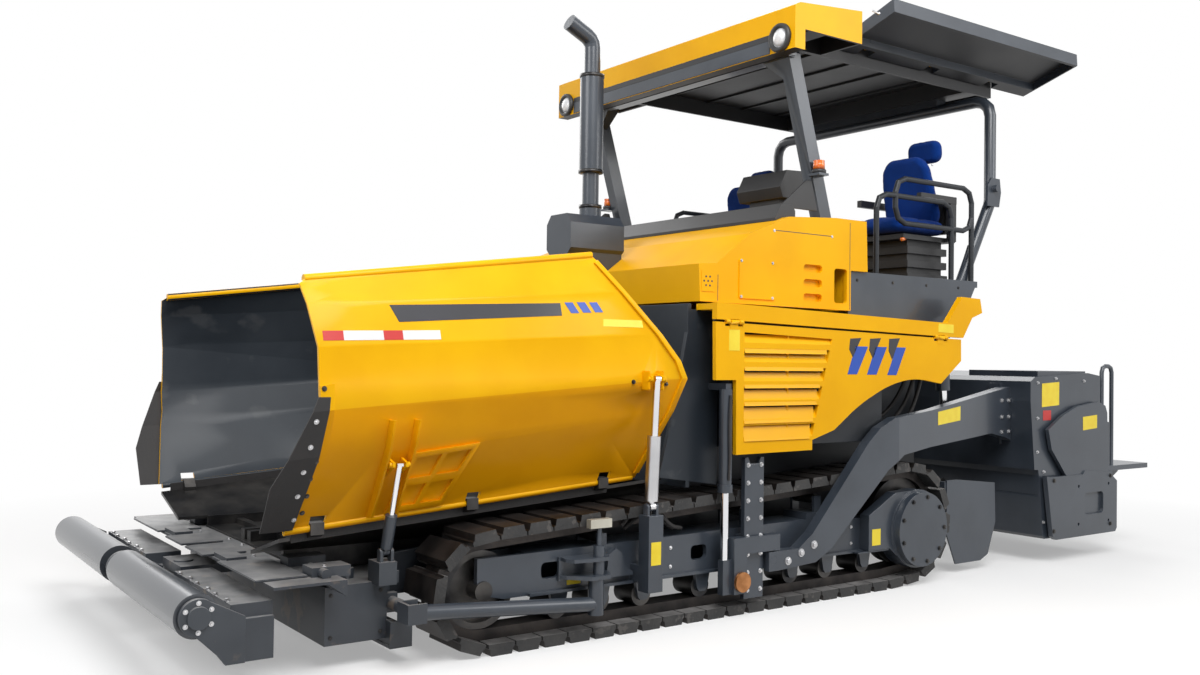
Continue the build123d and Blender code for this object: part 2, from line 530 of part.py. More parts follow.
# ---------------------------------------------------------------- body over the tracks
put("engine", box(-350, 650, -430, 430, 900, 1600))
FLOOR_TOP, PLAT_FRONT = 1880.0, -322.0
BODY_Y, SKIN = 1120.0, 25.0
HOOD = [(839, 1654), (850, 1851), (726, 1859), (488, 2036), (184, 2153), (-196, 2178), (-455, 2178),
        (-468, FLOOR_TOP), (PLAT_FRONT, FLOOR_TOP), (PLAT_FRONT, 1645)]
HOOD_IN = [(815, 1600), (825, 1830), (715, 1835), (478, 2010), (178, 2128), (-200, 2152), (-432, 2152),
           (-442, FLOOR_TOP + 25), (PLAT_FRONT + 25, FLOOR_TOP + 25), (PLAT_FRONT + 25, 1600)]
HOOD_SLOTS = ((-5, 1873, 150, 44), (-5, 1790, 150, 44), (-5, 1708, 150, 44), (-235, 1785, 108, 200), (788, 1760, 70, 90))
hood_outer = slab_xz(HOOD, -BODY_Y, BODY_Y)
hood = hood_outer - slab_xz(HOOD_IN, SKIN - BODY_Y, BODY_Y - SKIN)
service_lid = pill_y(434, 1788, 266, 214, 12, BODY_Y - 3, BODY_Y + 7)
hood = fuse(hood, service_lid, other_side(service_lid))
for x, z, wide, high in HOOD_SLOTS:
    slot = pill_y(x, z, wide, high, 20, BODY_Y - SKIN - 5, BODY_Y + 5)
    hood = hood - slot - other_side(slot)
put("hood", hood)

DOOR_IN, DOOR_T = 1228.0, 26.0
DOOR_OUT = DOOR_IN + DOOR_T
BAND = [(846, 1644), (-1034, 1592), (-1180, 1758), (-1363, 1753), (-1385, 1666), (-1283, 1631),
        (-1193, 1504), (846, 1557)]
band = slab_xz(BAND, DOOR_IN - 3, DOOR_OUT + 8)
deck = slab_xz([(846, 1640), (-1034, 1592), (-1034, 1560), (846, 1608)], BULK_Y, DOOR_IN)

DOOR = [(846, 1545), (840, 1244), (701, 1244), (695, 855), (130, 860), (130, 915), (-45, 965),
        (-250, 1102), (-509, 1215), (-735, 1256), (-990, 1222), (-1185, 1361), (-1183, 1494)]
DOOR_PIN = 7.0
DOOR_HINGES = (720.0, -980.0)
AXIS_Y, AXIS_Z0, AXIS_DZ = DOOR_OUT + 2, 1549.0, 51.0 / 2029.0
LOUVRE = [(645, 1495), (-21, 1472), (131, 937), (645, 937)]
SLATS, SLAT_LOW, SLAT_PITCH = 6, 905.0, 101.0
door = slab_xz(DOOR, DOOR_IN, DOOR_OUT) - slab_xz(LOUVRE, DOOR_IN - 5, DOOR_OUT + 5)
slats = []
for k in range(SLATS):
    z = SLAT_LOW + k * SLAT_PITCH
    slats.append(slab_yz([(DOOR_OUT, z), (DOOR_OUT, z + 30), (DOOR_IN, z + 74), (DOOR_IN, z + 62),
                          (DOOR_OUT - 10, z + 12), (DOOR_OUT - 10, z)], -60, 660))
field = [(655, 1500), (-25, 1476), (127, 930), (655, 930)]
door = fuse(door, [slat & slab_xz(field, DOOR_IN - 5, DOOR_OUT + 5) for slat in slats],
            box(305, 317, DOOR_IN, DOOR_OUT - 12, 933, 1488))
knuckles = []
for x in DOOR_HINGES:
    z = AXIS_Z0 - (846 - x) * AXIS_DZ
    a, b = Vector(x - 60, AXIS_Y, z - 60 * AXIS_DZ), Vector(x + 60, AXIS_Y, z + 60 * AXIS_DZ)
    way = (b - a).normalized()
    door -= box(x - 62, x + 62, DOOR_IN - 5, DOOR_OUT + 5, z - 22, z + 30)
    eye = fuse(rod(a + way * 32, b - way * 32, 12), box(x - 28, x + 28, AXIS_Y - 10, AXIS_Y, z - 40, z))
    door = fuse(door, eye) - rod(a, b, DOOR_PIN + PIN_GAP)
    ears = fuse(rod(a, a + way * 28, 12), rod(b - way * 28, b, 12),
                box(x - 59, x - 34, AXIS_Y - 12, AXIS_Y, z, z + 30), box(x + 34, x + 59, AXIS_Y - 12, AXIS_Y, z, z + 30))
    band -= rod(a + way * 29, b - way * 29, 15)
    knuckles.append(fuse(ears, rod(a, b, DOOR_PIN)))
put("shoulders", both(fuse(band, deck, knuckles)))
put("door_l", door)
put("door_r", other_side(door))

lift_hanger = fuse(box(-1340, -1260, LIFT_Y - 40, LIFT_Y - 25, 1535, FLOOR_TOP - 25),
                   box(-1340, -1260, LIFT_Y + 25, LIFT_Y + 40, 1535, FLOOR_TOP - 25),
                   rod_y(LIFT_TOP[0], LIFT_TOP[1], LIFT_Y - 35, LIFT_Y + 35, 14))
platform = fuse(box(-1400, PLAT_FRONT, -1100, 1100, 1600, FLOOR_TOP),
                box(-1560, -1400, -1100, 1100, FLOOR_TOP - 40, FLOOR_TOP),
                slab_xz([(-1400, 1620), (-1400, FLOOR_TOP - 35), (-1540, FLOOR_TOP - 35)], 1080, 1100),
                slab_xz([(-1400, 1620), (-1400, FLOOR_TOP - 35), (-1540, FLOOR_TOP - 35)], -1100, -1080))
platform -= box(-1370, PLAT_FRONT - 30, -1070, 1070, 1500, FLOOR_TOP - 30)
platform = fuse(platform, lift_hanger, other_side(lift_hanger))
put("platform", platform)
RAIL_TOP = 2200.0
DASH = [(240, 2100), (240, 2150), (190, 2235), (105, 2235), (80, 2200), (80, 2100)]
gusset = slab_xz([(150, 2225), (-165, 2225), (-112, 2400), (-70, 2400)], 990, 1000)
dash = fuse(slab_xz(DASH, -1060, 1060), box(-250, -170, -780, 780, 2100, RAIL_TOP), gusset, other_side(gusset))
put("dash", dash - hood_outer)
CONSOLE = [(-94, 2395), (-150, 2500), (-300, 2507), (-475, 2440), (-475, 2384), (-300, 2330), (-120, 2330)]
console = fuse(slab_xz(CONSOLE, 380, 760), box(-460, -330, 400, 740, 2420, 2476),
               box(-240, -180, 480, 620, RAIL_TOP + SEAT, 2340), box(-300, -150, 440, 700, 2290, 2335))
put("console", console)

stack = pipe([(760, 0, 2190), (760, 0, 3290), (935, 0, 3372)], 50, 70)
silencer = slab_yz([(-130, 2000), (-130, 2150), (-85, 2205), (85, 2205), (130, 2150), (130, 2000), (90, 1960),
                    (-90, 1960)], 597, 989)
exhaust = fuse(silencer, box(600, 830, -110, 110, 1840, 2000), stack, rod_z(760, 0, 2195, 2260, 66),
               rod_z(760, 0, 2480, 3060, 72))
put("exhaust", exhaust - hood_outer)

# ---------------------------------------------------------------- operator station
SEAT_Y, RAIL_Y = 770.0, 1062.0
seat_bases = []
seat_soft = []
for y in (SEAT_Y, -SEAT_Y):
    stand = [box(-1420, -1020, y - 200, y + 200, FLOOR_TOP, 1915)]
    for k in range(5):
        z, wide = 1910 + k * 44, 196 if k % 2 else 172
        stand.append(box(-1220 - wide, -1220 + wide, y - wide, y + wide, z, z + 46))
    stand.append(box(-1440, -960, y - 215, y + 215, 2128, 2160))
    for side in (-1, 1):
        arm_y = y + side * 244
        stand.append(box(-1430, -1370, arm_y - 16, arm_y + 16, 2135, 2385))
        stand.append(box(-1430, -1070, arm_y - 18, arm_y + 18, 2380, 2425))
        stand.append(box(-1440, -1360, min(y + side * 200, arm_y), max(y + side * 200, arm_y), 2130, 2158))
    seat_bases.append(fuse(stand))
    cushion = slab_xz([(-960, 2160), (-900, 2200), (-900, 2255), (-935, 2285), (-1360, 2262), (-1400, 2220),
                       (-1400, 2160)], y - 220, y + 220)
    back = slab_xz([(-1270, 2262), (-1335, 2560), (-1375, 2700), (-1470, 2715), (-1500, 2690), (-1440, 2300),
                    (-1395, 2215), (-1330, 2215)], y - 215, y + 215)
    head = slab_xz([(-1385, 2715), (-1395, 2830), (-1425, 2850), (-1485, 2850), (-1505, 2820), (-1490, 2700),
                    (-1400, 2700)], y - 130, y + 130)
    seat_soft.append(fuse(cushion, back, head))
put("seat_bases", seat_bases)
put("seats", seat_soft)

rail = fuse(pipe([(-610, RAIL_Y, FLOOR_TOP), (-610, RAIL_Y, 2372), (-1336, RAIL_Y, 2372), (-1336, RAIL_Y, FLOOR_TOP)], 17, 90, steps=2),
            pipe([(-784, RAIL_Y, 2208), (-784, RAIL_Y, 2484), (-1544, RAIL_Y, 2484), (-1544, RAIL_Y, 2208)], 17, 90, closed=True,
                 steps=2),
            rod((-1544, RAIL_Y, FLOOR_TOP), (-1544, RAIL_Y, 2320), 17))
put("rails", both(rail))

# ---------------------------------------------------------------- canopy
ROOF_FRONT, ROOF_REAR = 220.0, -2050.0
ROOF_Y, ROOF_LOW, ROOF_TOP = 850.0, 3200.0, 3330.0
BROW_Y, BROW_REAR, FASCIA_LOW = 1180.0, -330.0, 3085.0
LAMP_Y, LAMP_Z, LAMP_R = 1070.0, 3160.0, 62.0
HOOP_RIBS = ((-40, 95), (-1900, -1760))
brow = slab_xz([(ROOF_FRONT, FASCIA_LOW), (ROOF_FRONT, 3325), (180, 3345), (BROW_REAR, 3392), (BROW_REAR, ROOF_LOW),
                (ROOF_FRONT - 80, ROOF_LOW), (ROOF_FRONT - 80, FASCIA_LOW)], -BROW_Y, BROW_Y)
top = slab_xz([(BROW_REAR + 5, 3392), (BROW_REAR - 30, 3392), (BROW_REAR - 120, ROOF_TOP), (ROOF_REAR, ROOF_TOP),
               (ROOF_REAR, ROOF_LOW), (BROW_REAR + 5, ROOF_LOW)], -ROOF_Y, ROOF_Y)
roof = fuse(brow, top)
for x0, x1 in ((ROOF_REAR + 18, HOOP_RIBS[1][0]), (HOOP_RIBS[1][1], HOOP_RIBS[0][0]), (HOOP_RIBS[0][1], ROOF_FRONT - 95)):
    roof -= box(x0, x1, 18 - ROOF_Y, ROOF_Y - 18, ROOF_LOW - 5, ROOF_TOP - 22)
for x0, x1 in ((BROW_REAR + 18, HOOP_RIBS[0][0]), (HOOP_RIBS[0][1], ROOF_FRONT - 95)):
    wing_hollow = box(x0, x1, ROOF_Y + 18, BROW_Y - 18, ROOF_LOW - 5, ROOF_TOP - 22)
    roof = roof - wing_hollow - other_side(wing_hollow)
lamp = rod_x(LAMP_Y, LAMP_Z, ROOF_FRONT - 40, ROOF_FRONT + 12, LAMP_R)
pocket = rod_x(LAMP_Y, LAMP_Z, ROOF_FRONT - 40, ROOF_FRONT + 40, LAMP_R + SEAT)
roof = roof - pocket - other_side(pocket)
FLAP_PIN, FLAP_Y, FLAP_Z = 8.0, ROOF_Y + 22, ROOF_TOP + 6
FLAP_HINGES = (-700.0, -1340.0, -1980.0)
ROOF_REAR_FLAP, FLAP_FRONT = -2420.0, -500.0
flap_pins = []
for x in FLAP_HINGES:
    for x0 in (x - 50, x + 30):
        flap_pins.append(slab_yz([(ROOF_Y - 30, ROOF_TOP - 15), (FLAP_Y + 12, ROOF_TOP - 30), (FLAP_Y + 12, FLAP_Z + 10),
                                  (FLAP_Y - 10, FLAP_Z + 10), (ROOF_Y - 30, ROOF_TOP)], x0, x0 + 20))
    flap_pins.append(rod_x(FLAP_Y, FLAP_Z, x - 45, x + 45, FLAP_PIN))
roof = fuse(roof, flap_pins, [other_side(p) for p in flap_pins])
put("roof", roof)
POST_Y0, POST_Y1 = 910.0, 990.0
front_post = slab_xz([(-310, 2140), (-215, 2140), (75, 3110), (-20, 3110)], POST_Y0, POST_Y1)
corner = slab_yz([(POST_Y1, 3040), (POST_Y1, 3130), (POST_Y1 - 60, ROOF_LOW), (POST_Y0 - 150, ROOF_LOW), (POST_Y0 - 150, 3110),
                  (POST_Y0, 2990), (POST_Y0 + 5, 2950)], -20, 75) & slab_xz([(-400, 1800), (-20, 3110), (-20, 3300),
                  (75, 3300), (75, 3110), (-215, 2140)], 600, 1100)
hoop_front = fuse(front_post, other_side(front_post), box(-20, 75, 80 - POST_Y0, POST_Y0 - 80, 3110, ROOF_LOW),
                  corner, other_side(corner))
for side in (-1, 1):
    hoop_front += box(-175, -95, side * (POST_Y1 - 5), side * 1075, 2426, 2440)
    hoop_front += box(-330, -190, side * (POST_Y0 - 30), side * (POST_Y1 + 30), 2170, 2192)
hoop_front -= hood_outer
post = pipe([(-1515, 1000, 1860), (-1830, 1000, 2430), (-1830, 1000, 3130), (-1830, -1000, 3130),
             (-1830, -1000, 2430), (-1515, -1000, 1860)], 38, 110)
folds = []
for side in (-1, 1):
    folds.append(slab_xz([(-1740, 2400), (-1745, 2540), (-1785, 2590), (-1875, 2590), (-1890, 2500), (-1870, 2400)],
                         side * 1034, side * 1046))
    folds.append(rod_y(-1815, 2520, side * 1030, side * 1075, 24))
    folds.append(slab_xz([(-1480, FLOOR_TOP), (-1560, FLOOR_TOP), (-1690, 2130), (-1600, 2130)], side * 994, side * 1006))
rear_hoop = fuse(post, folds, box(-1880, -1780, -600, 600, 3150, ROOF_LOW)) - platform
put("hoops", hoop_front, rear_hoop)
WEDGE = [(FLAP_Y - 12, 3265), (FLAP_Y - 12, FLAP_Z - 20), (FLAP_Y, FLAP_Z), (1270, 3480), (1275, 3400)]
flap = slab_yz(WEDGE, ROOF_REAR_FLAP, FLAP_FRONT)
flap -= slab_yz([(945, 3200), (945, 3340), (1254, 3452), (1258, 3385), (1258, 3200)], ROOF_REAR_FLAP + 14, FLAP_FRONT - 14)
for x in FLAP_HINGES:
    flap -= box(x - 56, x + 56, FLAP_Y - 60, FLAP_Y + 45, 3200, 3400)
    flap += rod_x(FLAP_Y, FLAP_Z, x - 26, x + 26, 15) + box(x - 26, x + 26, FLAP_Y, FLAP_Y + 75, FLAP_Z - 14, FLAP_Z + 10)
    flap -= rod_x(FLAP_Y, FLAP_Z, x - 60, x + 60, FLAP_PIN + PIN_GAP)
put("canopy_flap_l", flap)
put("canopy_flap_r", other_side(flap))
put("headlamps", both(lamp))
put("beacons", both(rod_z(-135, 1035, 2440, 2515, 33)))

# ---------------------------------------------------------------- tow point, arms and screed
ARM_MID = (ARM_IN + ARM_OUT) / 2
LEV_X, LEV_ROD = 735.0, 20.0
GUIDE = [(462, 91), (600, 91), (600, 834), (576, 834), (560, 800), (500, 800), (486, 834), (462, 834)]
guide = fuse(slab_xz(GUIDE, ARM_IN, ARM_IN + 30), box(480, 580, FRAME_OUT, ARM_IN, 260, 420))
put("tow_guides", both(guide))
lev_barrel = fuse(rod_z(LEV_X, ARM_MID - 9, 665, 1195, 34),
                  box(LEV_X - 20, LEV_X + 20, BULK_Y, ARM_MID + 11, 1190, 1225),
                  rod_z(LEV_X, ARM_MID - 9, 660, 700, 40))
lev_barrel -= rod_z(LEV_X, ARM_MID - 9, 600, 1120, LEV_ROD + PIN_GAP)
put("lev_barrels", both(lev_barrel))
carriage = fuse(box(610, 700, ARM_IN, ARM_OUT, 130, 420), box(440, 615, ARM_IN + 38, ARM_OUT, 335, 420),
                box(370, 452, ARM_IN, ARM_OUT, 335, 420), box(370, 452, ARM_IN, ARM_IN + 22, 235, 340),
                rod_z(LEV_X, ARM_MID - 9, 300, 980, LEV_ROD),
                box(LEV_X - 40, LEV_X + 25, ARM_MID - 29, ARM_MID + 11, 130, 310),
                rod_y(TOW_X, TOW_Z, ARM_IN + 10, ARM_OUT, TOW_R))
carriage = fuse(carriage, rod_y(648, 193, ARM_OUT - 1, ARM_OUT + 16, 52))
put("tow_carriages", both(carriage))

ARM = [(450, 328), (229, 328), (120, 400), (-333, 882), (-436, 965), (-568, 1021), (-980, 1057), (-2030, 1195),
       (-2030, 826), (-1960, 850), (-1750, 886), (-960, 832), (-662, 800), (-510, 719), (-25, 303),
       (94, 242), (380, 225), (450, 225)]
ARM_PLAN = [(460, ARM_IN + 28), (460, ARM_OUT), (-600, ARM_OUT), (-2030, 1040), (-2030, 950), (-640, ARM_IN),
            (340, ARM_IN), (350, ARM_IN + 28)]
arm = slab_xz(ARM, 900, 1300) & slab_xy(ARM_PLAN, 100, 1300)
arm -= rod_y(TOW_X, TOW_Z, 1100, 1300, TOW_R + PIN_GAP)
lift_x, lift_z = LIFT_LOW
EAR_HALF, EAR_T = 29.0, 12.0
lift_ear = fuse([box(lift_x - 95, lift_x + 45, y, y + EAR_T, lift_z - 45, lift_z + 28)
                 for y in (LIFT_Y - EAR_HALF - EAR_T, LIFT_Y + EAR_HALF)],
                box(lift_x - 95, lift_x - 75, LIFT_Y - EAR_HALF - EAR_T, LIFT_Y + EAR_HALF + EAR_T, lift_z - 45, lift_z + 28),
                box(lift_x - 70, lift_x + 20, LIFT_Y + EAR_HALF + EAR_T - 1, LIFT_Y + 80, lift_z - 20, lift_z + 20),
                rod_y(lift_x, lift_z, LIFT_Y - EAR_HALF - EAR_T - 10, LIFT_Y - EAR_HALF - EAR_T + 1, 18))
SCREED_Y = 1200.0
UPPER = [(-2060, 640), (-2010, 1100), (-2010, 1232), (-2060, 1262), (-2700, 1290), (-2860, 1270), (-2860, 620),
         (-2420, 600), (-2420, 620)]
LOWER = [(-2102, 640), (-2112, 600), (-2160, 190), (-2180, 170), (-2420, 170), (-2420, 640)]
lower = slab_xz(LOWER, -SCREED_Y, SCREED_Y)
for z in (300, 455):
    lower -= box(-2200, -2050, -SCREED_Y + 20, SCREED_Y - 20, z, z + 14) - box(-2200, -2130, -SCREED_Y, SCREED_Y, z, z + 14)
arm_plates = [box(-2010, -1985, side * 895, side * 985, 800, 1215) for side in (-1, 1)]
steps_rear = [box(-2700, -2120, side * 640, side * 1180, 1255, 1302) for side in (-1, 1)]
screed = fuse(slab_xz(UPPER, -SCREED_Y, SCREED_Y), lower, arm, other_side(arm), lift_ear, other_side(lift_ear),
              arm_plates, steps_rear)
blocks = [box(TUBE_X - 65, -2850, y, y + 100, 690, 950) for y in (250, 900, -350, -1000)]
screed = fuse(screed, blocks)
for z in TUBE_Z:
    screed -= rod_y(TUBE_X, z, -1100, 1100, TUBE_R + PIN_GAP)
put("screed", screed)

END_PLATE = [(-2125, 600), (-2200, 190), (-2240, 165), (-2980, 165), (-3000, 190), (-3000, 525), (-2900, 590), (-2590, 615),
             (-2560, 590), (-2150, 590)]
HUMP = [(-2158, 908), (-2330, 1000), (-2498, 1059), (-2771, 1090), (-2860, 1060), (-2885, 1010), (-2905, 560),
        (-2400, 560), (-2199, 772)]
END_Y = SCREED_Y + 16


def extension(z):
    body = fuse(box(-2980, -2440, 6, 1210, 170, 600), slab_xz(END_PLATE, END_Y, END_Y + 34),
                box(-2990, -2440, 1205, END_Y + 4, 200, 590), slab_xz(HUMP, END_Y - 2, END_Y + 24),
                box(-3510, -2970, 6, SCREED_Y, 590, 625),
                [slab_xz([(-2975, 592), (-2975, 400), (-3010, 400), (-3330, 560), (-3330, 592)], y, y + 12)
                 for y in (150, 600, 1060)],
                box(-2990, -2870, 1140, SCREED_Y, 590, 940),
                pipe([(-2930, 1170, 930), (-2930, 1170, 1340), (-3060, 1170, 1340), (-3060, 1170, 620)], 15, 45, steps=2))
    for x, dz in ((-2890, 250), (-2890, 510), (-2510, 250), (-2510, 510)):
        body -= rod_y(x, dz, 1160, 1300, 11)
    body -= pill_y(-2700, 385, 240, 150, 30, END_Y + 14, END_Y + 40)
    return fuse(body, rod_y(TUBE_X, z, -320, 1150, TUBE_R))


put("screed_ext_l", extension(TUBE_Z[0]))
put("screed_ext_r", other_side(extension(TUBE_Z[1])))

top_pin, low_pin = Vector(LIFT_TOP[0], LIFT_Y, LIFT_TOP[1]), Vector(LIFT_LOW[0], LIFT_Y, LIFT_LOW[1])
down = (low_pin - top_pin).normalized()
lift_barrel = fuse(rod(top_pin + down * 40, top_pin + down * 400, 45), rod(top_pin, top_pin + down * 60, 24),
                   rod_y(LIFT_TOP[0], LIFT_TOP[1], LIFT_Y - 20, LIFT_Y + 20, 28))
lift_barrel -= rod(top_pin + down * 100, top_pin + down * 500, 25 + PIN_GAP)
lift_barrel -= rod_y(LIFT_TOP[0], LIFT_TOP[1], LIFT_Y - 60, LIFT_Y + 60, 14 + PIN_GAP)
put("lift_barrels", both(lift_barrel))
lift_rod = fuse(rod(top_pin + down * 330, low_pin, 25),
                rod_y(lift_x, lift_z, LIFT_Y - EAR_HALF + 2, LIFT_Y + EAR_HALF - 2, 30))
put("lift_rods", both(lift_rod))

# augers: a flight of flat blades, BLADES_A_TURN to the turn, each tilted to the pitch
FLIGHT_R, FLIGHT_T, FLIGHT_PITCH, BLADES_A_TURN, TURNS = 170.0, 14.0, 300.0, 9, 3
half_turn = math.pi / BLADES_A_TURN * 1.04
tilt = math.degrees(math.atan(FLIGHT_PITCH / (2 * math.pi * FLIGHT_R)))
blade_side = [(38 * math.cos(a), 38 * math.sin(a)) for a in (-half_turn, half_turn)]
blade_side += [(FLIGHT_R * math.cos(a), FLIGHT_R * math.sin(a)) for a in (half_turn, half_turn / 3, -half_turn / 3, -half_turn)]
blade = slab_xz(blade_side, -FLIGHT_T / 2, FLIGHT_T / 2)
flight = []
for k in range(BLADES_A_TURN * TURNS):
    turned = Pos(AUGER_X, 135 + k * FLIGHT_PITCH / BLADES_A_TURN, AUGER_Z) * Rot(0, -360 * k / BLADES_A_TURN, 0)
    flight.append(turned * Rot(tilt, 0, 0) * blade)
auger = fuse(rod_y(AUGER_X, AUGER_Z, 50, 1060, 45), flight, rod_y(AUGER_X, AUGER_Z, 3, 60, 30))
put("auger_l", auger)
put("auger_r", other_side(auger))
SHIELD = [(-1285, 600), (-1390, 600), (-1790, 560), (-1800, 300), (-1720, 95), (-1640, 60), (-1380, 60), (-1285, 260)]
shield = fuse(slab_xz(SHIELD, 1072, 1082), box(-1300, -1270, HULL_Y, 1076, 520, 590))
hanger = fuse(box(AUGER_X - 55, AUGER_X + 55, -40, 40, 345, 700), box(-1660, -1300, -70, 70, 640, 900))
hanger -= rod_y(AUGER_X, AUGER_Z, -60, 60, 30 + PIN_GAP)
put("auger_hanger", hanger, both(shield))

os.makedirs("parts", exist_ok=True)
for name, shape in parts.items():
    export_step(shape, "parts/" + name + ".step")
print(len(parts), "nodes")
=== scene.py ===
import bmesh
import bpy
import json
import math
from mathutils import Vector, Matrix
from mathutils.bvhtree import BVHTree


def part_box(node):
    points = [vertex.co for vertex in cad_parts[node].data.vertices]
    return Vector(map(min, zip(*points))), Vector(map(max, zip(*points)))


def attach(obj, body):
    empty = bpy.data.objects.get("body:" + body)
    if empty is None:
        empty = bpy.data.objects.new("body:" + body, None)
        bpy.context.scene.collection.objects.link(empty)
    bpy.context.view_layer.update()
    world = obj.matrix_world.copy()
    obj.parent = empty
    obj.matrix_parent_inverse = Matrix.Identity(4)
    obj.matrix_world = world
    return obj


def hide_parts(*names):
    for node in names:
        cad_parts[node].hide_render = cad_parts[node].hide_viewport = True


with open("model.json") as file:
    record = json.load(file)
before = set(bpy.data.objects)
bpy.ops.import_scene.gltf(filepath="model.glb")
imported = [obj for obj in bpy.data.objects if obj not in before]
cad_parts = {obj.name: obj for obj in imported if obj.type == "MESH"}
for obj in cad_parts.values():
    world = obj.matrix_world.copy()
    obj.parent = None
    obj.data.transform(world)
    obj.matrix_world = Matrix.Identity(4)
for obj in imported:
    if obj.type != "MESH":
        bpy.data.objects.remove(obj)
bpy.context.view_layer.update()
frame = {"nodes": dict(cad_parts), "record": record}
scene = bpy.context.scene
NODES = frame["nodes"]
BODY = {n: b for b, names in frame["record"]["behaviour"]["bodies"].items() for n in names}
SIDES = (("l", 1), ("r", -1))  # tag of a side and the sign of its Y
UP, AHEAD = (0, 0, 1), (1, 0, 0)

# -------------------------------- camera, fitted to the photo's lines
CAMERA_AT = (4.64, 5.50, 1.35)
YAW, PITCH, ROLL = 54.2, 1.05, 0.8  # degrees
LENS, SENSOR, CLIP_END = 33.15, 36.0, 200


def look():
    """The photo's camera."""
    yaw, pitch, roll = math.radians(YAW), math.radians(PITCH), math.radians(ROLL)
    flat = Vector((-math.cos(yaw), -math.sin(yaw), 0))
    ahead = (flat * math.cos(pitch) + Vector((0, 0, math.sin(pitch)))).normalized()
    right = ahead.cross(Vector(UP)).normalized()
    up = right.cross(ahead)
    rolled_right = right * math.cos(roll) + up * math.sin(roll)
    rolled_up = up * math.cos(roll) - right * math.sin(roll)
    data = bpy.data.cameras.new("cam")
    data.lens = LENS
    data.sensor_width = SENSOR
    data.clip_end = CLIP_END
    cam = bpy.data.objects.new("cam", data)
    scene.collection.objects.link(cam)
    place = Matrix((rolled_right, rolled_up, -ahead)).transposed().to_4x4()
    place.translation = Vector(CAMERA_AT)
    cam.matrix_world = place
    scene.camera = cam


look()
scene.render.resolution_x = 1200
scene.render.resolution_y = 675

# -------------------------------- materials
DRIFT = (0.35, 0.65)  # where the slow noise turns from the dark to the light colour
WORN_SCALE, WORN_EDGE = 2.3, 0.06  # patches against the drift, and how soft their edge is
DUST_SCALE, DUST_FROM = 11, 0.5  # dust lies on faces whose normal has more Z than this
BUMP_DEPTH, COAT_ROUGH = 0.01, 0.12


def nodes_of(mat):
    mat.use_nodes = True
    tree = mat.node_tree
    return tree.nodes, tree.links, tree.nodes["Principled BSDF"]


def noise_at(nodes, links, coord, scale, detail, stretch=None):
    noise = nodes.new("ShaderNodeTexNoise")
    noise.inputs["Scale"].default_value = scale
    noise.inputs["Detail"].default_value = detail
    source = coord.outputs["Object"]
    if stretch:
        mapping = nodes.new("ShaderNodeMapping")
        mapping.inputs["Scale"].default_value = stretch
        links.new(source, mapping.inputs["Vector"])
        source = mapping.outputs["Vector"]
    links.new(source, noise.inputs["Vector"])
    return noise.outputs["Fac"]


def map_range(nodes, links, value, **ends):
    """Value taken from one range to another. ends: from_min, from_max, to_min, to_max."""
    node = nodes.new("ShaderNodeMapRange")
    for end, number in ends.items():
        node.inputs[end.replace("_", " ").title()].default_value = number
    links.new(value, node.inputs["Value"])
    return node.outputs["Result"]


def laid_over(nodes, links, colour, top, share):
    """The colour with another on top of it, as far as share says."""
    mix = nodes.new("ShaderNodeMixRGB")
    mix.inputs["Color2"].default_value = (*top, 1)
    links.new(share, mix.inputs["Fac"])
    links.new(colour, mix.inputs["Color1"])
    return mix.outputs["Color"]


def maths(nodes, links, operation, a, b):
    node = nodes.new("ShaderNodeMath")
    node.operation = operation
    links.new(a, node.inputs[0])
    links.new(b, node.inputs[1])
    return node.outputs["Value"]


def paint(name, dark, light, rough=(0.25, 0.4), coat=0.3, metal=0.0, scale=3.0, bump=0.02,
          fine=60.0, worn=None, worn_from=0.62, dust=None, dusty=0.4, stretch=None, shine=0.5):
    """Finish with slow colour drift, uneven gloss and a fine bump.

    worn: colour of patches. dust: colour on faces that look up, dusty: how much of it."""
    mat = bpy.data.materials.new(name)
    nodes, links, bsdf = nodes_of(mat)
    coord = nodes.new("ShaderNodeTexCoord")
    drift = noise_at(nodes, links, coord, scale, 6, stretch)
    ramp = nodes.new("ShaderNodeValToRGB")
    for stop, position, shade in zip(ramp.color_ramp.elements, DRIFT, (dark, light)):
        stop.position = position
        stop.color = (*shade, 1)
    links.new(drift, ramp.inputs["Fac"])
    colour = ramp.outputs["Color"]
    if worn:
        patches = map_range(nodes, links, noise_at(nodes, links, coord, scale * WORN_SCALE, 9),
                            from_min=worn_from, from_max=worn_from + WORN_EDGE)
        colour = laid_over(nodes, links, colour, worn, patches)
    if dust:
        split = nodes.new("ShaderNodeSeparateXYZ")
        links.new(nodes.new("ShaderNodeNewGeometry").outputs["Normal"], split.inputs["Vector"])
        upward = map_range(nodes, links, split.outputs["Z"], from_min=DUST_FROM, from_max=1.0,
                           to_max=dusty)
        specks = noise_at(nodes, links, coord, DUST_SCALE, 8)
        share = maths(nodes, links, "MULTIPLY", upward, specks)
        colour = laid_over(nodes, links, colour, dust, share)
    links.new(colour, bsdf.inputs["Base Color"])
    gloss = map_range(nodes, links, drift, to_min=rough[0], to_max=rough[1])
    links.new(gloss, bsdf.inputs["Roughness"])
    bumper = nodes.new("ShaderNodeBump")
    bumper.inputs["Strength"].default_value = bump
    bumper.inputs["Distance"].default_value = BUMP_DEPTH
    links.new(noise_at(nodes, links, coord, fine, 3), bumper.inputs["Height"])
    links.new(bumper.outputs["Normal"], bsdf.inputs["Normal"])
    bsdf.inputs["Metallic"].default_value = metal
    bsdf.inputs["Specular IOR Level"].default_value = shine
    bsdf.inputs["Coat Weight"].default_value = coat
    bsdf.inputs["Coat Roughness"].default_value = COAT_ROUGH
    return mat


